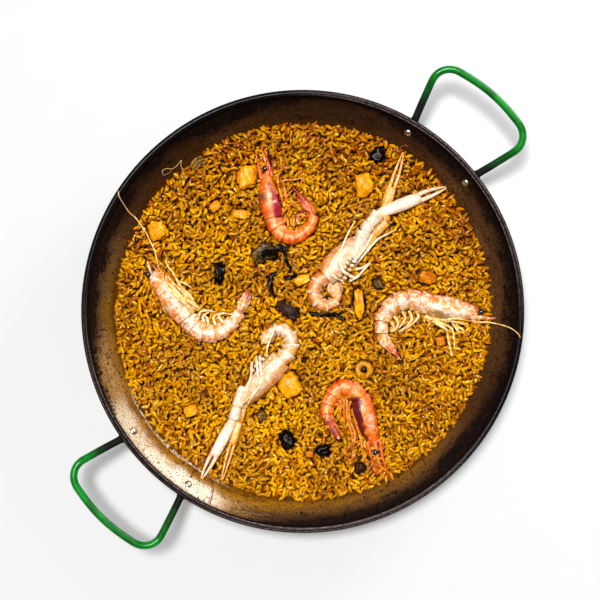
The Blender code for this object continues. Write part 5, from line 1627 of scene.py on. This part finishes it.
# A limb is its tone, the half widths in mm at its root and its tip, its start and its links.
LIMBS = {
    "red_prawn_1": ("red", (
        ("orange", 1.36, 0.70, (-17.9, 100.4), ((15, 105), (12, 102), (9, 69), (9, 63))),
        ("orange", 1.30, 0.64, (-16.1, 101.8), ((13, 93), (10, 101), (9, 9), (9, 9), (6, -104))),
        ("orange", 0.94, 0.64, (-16.8, 103.3), ((8, 75), (9, 48))),
        ("orange", 1.18, 0.57, (-20.5, 93.0), ((7, 49), (8, 39), (8, 14))),
        ("red", 0.88, 0.48, (-33.0, 133.0), ((9, 98), (8, 92), (7, 80))),
        ("red", 0.83, 0.48, (-29.5, 130.0), ((8, 88), (9, 80))),
        ("dark", 0.90, 0.43, (-6.7, 86.0), ((6, 95), (6, 50), (6, 4), (6, -34))),
    )),
    "red_prawn_2": ("red", (
        ("orange", 1.36, 0.76, (46.7, -86.2), ((8, -107), (10, -85), (13, -71), (11, -92), (13, -97),
                                               (7, -126))),
        ("orange", 1.36, 0.76, (42.7, -83.9), ((17, -90), (16, -76), (10, -85), (9, -128), (8, -129))),
        ("orange", 1.06, 0.64, (47.5, -94.2), ((15, -74), (12, -67))),
        ("orange", 1.06, 0.64, (49.8, -106.9), ((14, -69), (18, -80), (8, -61))),
        ("orange", 0.94, 0.57, (54.6, -121.9), ((9, -56), (9, -70))),
        ("orange", 0.94, 0.57, (55.4, -126.3), ((8, -137),)),
        ("red", 0.88, 0.53, (65.7, -138.4), ((14, -79), (8, -61))),
        ("orange", 1.06, 0.64, (40.5, -84.5), ((8, -96), (9, -84), (7, -99))),
        ("orange", 1.18, 0.51, (36.0, -84.0), ((9, -84), (8, -95))),
    )),
    "pale_prawn_1": ("pale", (
        ("yellow", 1.75, 0.90, (-107.6, 2.8), ((12, 138), (14, 138), (9, 126), (8, 104), (3, 63))),
        ("yellow", 1.70, 0.90, (-104.3, 1.8), ((16, 122), (14, 135), (8, 130), (4, 124))),
        ("yellow", 1.60, 0.80, (-106.5, 8.6), ((23, 124), (9, 117), (10, 127), (6, 108))),
        ("yellow", 1.60, 0.85, (-110.5, 6.4), ((14, 128), (12, 136), (9, 150))),
        ("yellow", 1.50, 0.80, (-98.4, 2.2), ((10, 145), (16, 150))),
        ("yellow", 1.40, 0.75, (-103.0, 6.6), ((9, 120), (12, 134), (7, 160))),
        ("yellow", 1.20, 0.70, (-120.2, 28.6), ((8, -14), (10, -37))),
        ("yellow", 0.69, 0.43, (-136.3, 35.6), ((8, 108), (13, 101), (10, 114), (15, 118), (14, 126),
                                                (8, 136), (14, 119), (6.5, 101))),
        ("tan", 0.46, 0.38, (-114.8, 133.6), ((7.5, 109), (4.5, 80), (7, -132), (6, -146), (4, 174),
                                                 (5, -151), (4, -73), (5, 23), (4, 50))),
    )),
    "pale_prawn_2": ("pale", (
        ("yellow", 1.60, 0.95, (118.2, -3.8), ((14, -37), (11, -36), (11, -80), (14, -78))),
        ("yellow", 1.50, 0.85, (124.0, -7.6), ((12, -24), (9, -27), (10, -79), (10, -87))),
        ("yellow", 1.10, 0.65, (143.6, -11.2), ((6, -59), (6, -59))),
        ("yellow", 1.50, 0.75, (118.2, -3.8), ((14, -18), (16, 4), (15, -11))),
        ("yellow", 1.30, 0.70, (116.0, -5.8), ((15, -12), (14, -4), (12, -14))),
        ("yellow", 1.05, 0.65, (147.5, -14.1), ((6, -31), (4, -56))),
        ("yellow", 0.75, 0.43, (165.1, -10.2), ((12, -2), (7, -8), (8, -14), (7, -23), (7, -42),
                                                (4.5, -60))),
    )),
    "langoustine_1": ("white", (
        ("cream", 1.34, 0.79, (49.4, 32.2), ((10, 153), (10, 119), (9, 94), (12, 68), (11, 66), (13, 60))),
        ("cream", 1.34, 0.79, (39.5, 28.9), ((11, 156), (9, 111), (8, 67), (13, 59))),
        ("cream", 1.46, 0.92, (49.4, 39.9), ((9, 14), (8, 37))),
        ("cream", 1.46, 0.79, (50.5, 44.3), ((19, 50), (13, 48), (9, 30), (11, 27))),
        ("cream", 1.46, 0.79, (48.3, 46.5), ((16, 51), (13, 59), (9, 60))),
        ("cream", 1.46, 0.92, (45.0, 28.9), ((10, 32), (16, 48))),
        ("dark", 0.52, 0.37, (138.1, 120.0), ((7, 160), (12, 71))),
        ("dark", 0.52, 0.37, (93.3, 153.0), ((5, 75), (5, 20), (4, -60))),
    )),
    "langoustine_2": ("white", (
        ("cream", 1.52, 0.92, (-48.7, -48.2), ((15, -94), (10, -111), (13, -100))),
        ("cream", 1.52, 0.92, (-44.7, -43.6), ((18, -84), (12, -101))),
        ("cream", 1.52, 0.79, (-41.2, -42.4), ((26, -87), (13, -126), (13, -135))),
        ("cream", 1.46, 0.79, (-22.0, -45.9), ((14, -145), (7, -135))),
        ("cream", 1.34, 0.79, (-38.3, -69.1), ((11, -131), (14, -121))),
        ("cream", 1.34, 0.66, (-27.0, -14.0), ((9, -105), (12, -112), (9, -95))),
        ("dark", 0.52, 0.37, (-84.9, -125.0), ((23, -120), (18, -131))),
        ("dark", 0.52, 0.37, (-90.6, -157.4), ((14, -70), (15, -101))),
    )),
}


def resting(point):
    """The height of whatever lies highest at a place: rice, bodies or the pan's wall."""
    wall = wall_point(0.0)
    reach = math.hypot(point.x, point.y)
    level = (reach - wall.x) * SLOPE.y / SLOPE.x
    across_lip = reach - LIP_CENTRE.x
    if abs(across_lip) < LIP_RADIUS:
        level = LIP_CENTRE.y + math.sqrt(LIP_RADIUS ** 2 - across_lip ** 2)
    if max(abs(point.x), abs(point.y)) < RICE_MAP_HALF:
        row, column = cells(np.array([point.x, point.y]))
        level = max(level, rice_top[row, column])
    above = level_at(point, LOOK_DOWN_FROM)
    hit = over_rice.ray_cast(above, Vector((0, 0, -1)), LOOK_DOWN_FROM)[0]
    return max(level, hit.z) if hit else level


def limb(bm, tone, first, last, start, links):
    """One leg, its joints a little swollen, laid over what is below it."""
    plain, pale, deep = LIMB_TONES[tone]
    joints = walk(start, links)
    bends = joints[1:-1]
    path = evenly(smooth_path(joints, 8), LEG_STEP)
    levels = [resting(serving @ point) for point in path]
    raised = [max(levels[max(index - 2, 0):index + 3]) for index in range(len(path))]
    frames = []
    for index, (share, point, ahead) in enumerate(along(path)):
        nearby = raised[max(index - 3, 0):index + 4]
        level = sum(nearby) / len(nearby)
        knuckle = min((point - bend).length for bend in bends) if bends else 1.0
        swell = 0.94 + KNUCKLE_SWELL * math.exp(-(knuckle / KNUCKLE_SPREAD) ** 2)
        half = (first + (last - first) * share) * MM * swell
        rooted = smooth(share * 6)
        height = (REST_LEVEL + LIMB_ROOT_LIFT) * (1 - rooted) + level * rooted
        spot = level_at(point, max(height, level - LIMB_SAG) + half * 0.5)
        frames.append(ring_frame(spot, ahead, half, half * 0.85))

    def colour(share, x, y, point):
        made = plain.lerp(pale, smooth(0.9 - abs(x) * 1.5 + noise.noise(point * 260)) * 0.8)
        return made.lerp(deep, smooth((share - 0.65) / 0.3) * 0.8)

    shell_part(bm, frames, LEG_SIDES, colour)


for name, (kind, limbs) in LIMBS.items():
    bm = new_shell()
    for values in limbs:
        limb(bm, *values)
    topping(name + "_legs", bm, shells["red" if kind == "red" else "leg"], kind + "_shell", name)

# ---------------------------------------------------------------------------
# The table, the lights and the camera: a plain pale top under a soft light from
# high at the back and a low lamp at the back right, and a camera straight above.
# ---------------------------------------------------------------------------

CAMERA_PLACE = (-0.0026, 0.0108, 1.385)
LENS = 85.0
SENSOR = 36.0
TABLE_HALF = 6.0
ROOM_LIGHT = 0.10


def studio_light(name, kind, place, size, power):
    """A soft light that looks at the pan's middle from a place on the food's axes."""
    lamp = bpy.data.lights.new(name, kind)
    if kind == "SUN":
        lamp.angle = math.radians(size)
    else:
        lamp.size = size
    lamp.energy = power
    made = set_out(name, lamp)
    made.location = serving @ Vector(place)
    made.rotation_euler = (-made.location).to_track_quat("-Z", "Y").to_euler()


def table_top():
    finish = Finish("pale table top", roughness=0.9)
    fine = finish.mottle(30.0, 2.0)
    colour = finish.mix(fine, (0.580, 0.580, 0.580), (0.592, 0.592, 0.592))
    return finish.set(Base_Color=colour)


bm = bmesh.new()
bmesh.ops.create_grid(bm, x_segments=1, y_segments=1, size=TABLE_HALF)
mesh = bpy.data.meshes.new("table_top")
bm.to_mesh(mesh)
bm.free()
mesh.materials.append(table_top())
table = set_out("table_top", mesh)

studio_light("key_light", "SUN", (-0.16, 0.26, 1.3), 20, 4.6)
studio_light("side_light", "AREA", (1.10, 1.20, 0.42), 0.7, 20)

world = bpy.data.worlds.new("studio")
bpy.context.scene.world = world
world.use_nodes = True
room = world.node_tree.nodes["Background"]
room.inputs["Color"].default_value = (1.0, 1.0, 1.0, 1.0)
room.inputs["Strength"].default_value = ROOM_LIGHT

lens = bpy.data.cameras.new("camera")
lens.lens = LENS
lens.sensor_width = SENSOR
camera = set_out("camera", lens)
camera.location = serving @ Vector(CAMERA_PLACE)
camera.rotation_euler = (0.0, 0.0, SERVING_TURN)
bpy.context.scene.camera = camera
bpy.context.scene.view_settings.view_transform = "Standard"


def plain(box):
    return [[round(float(value), 6) for value in corner] for corner in box]
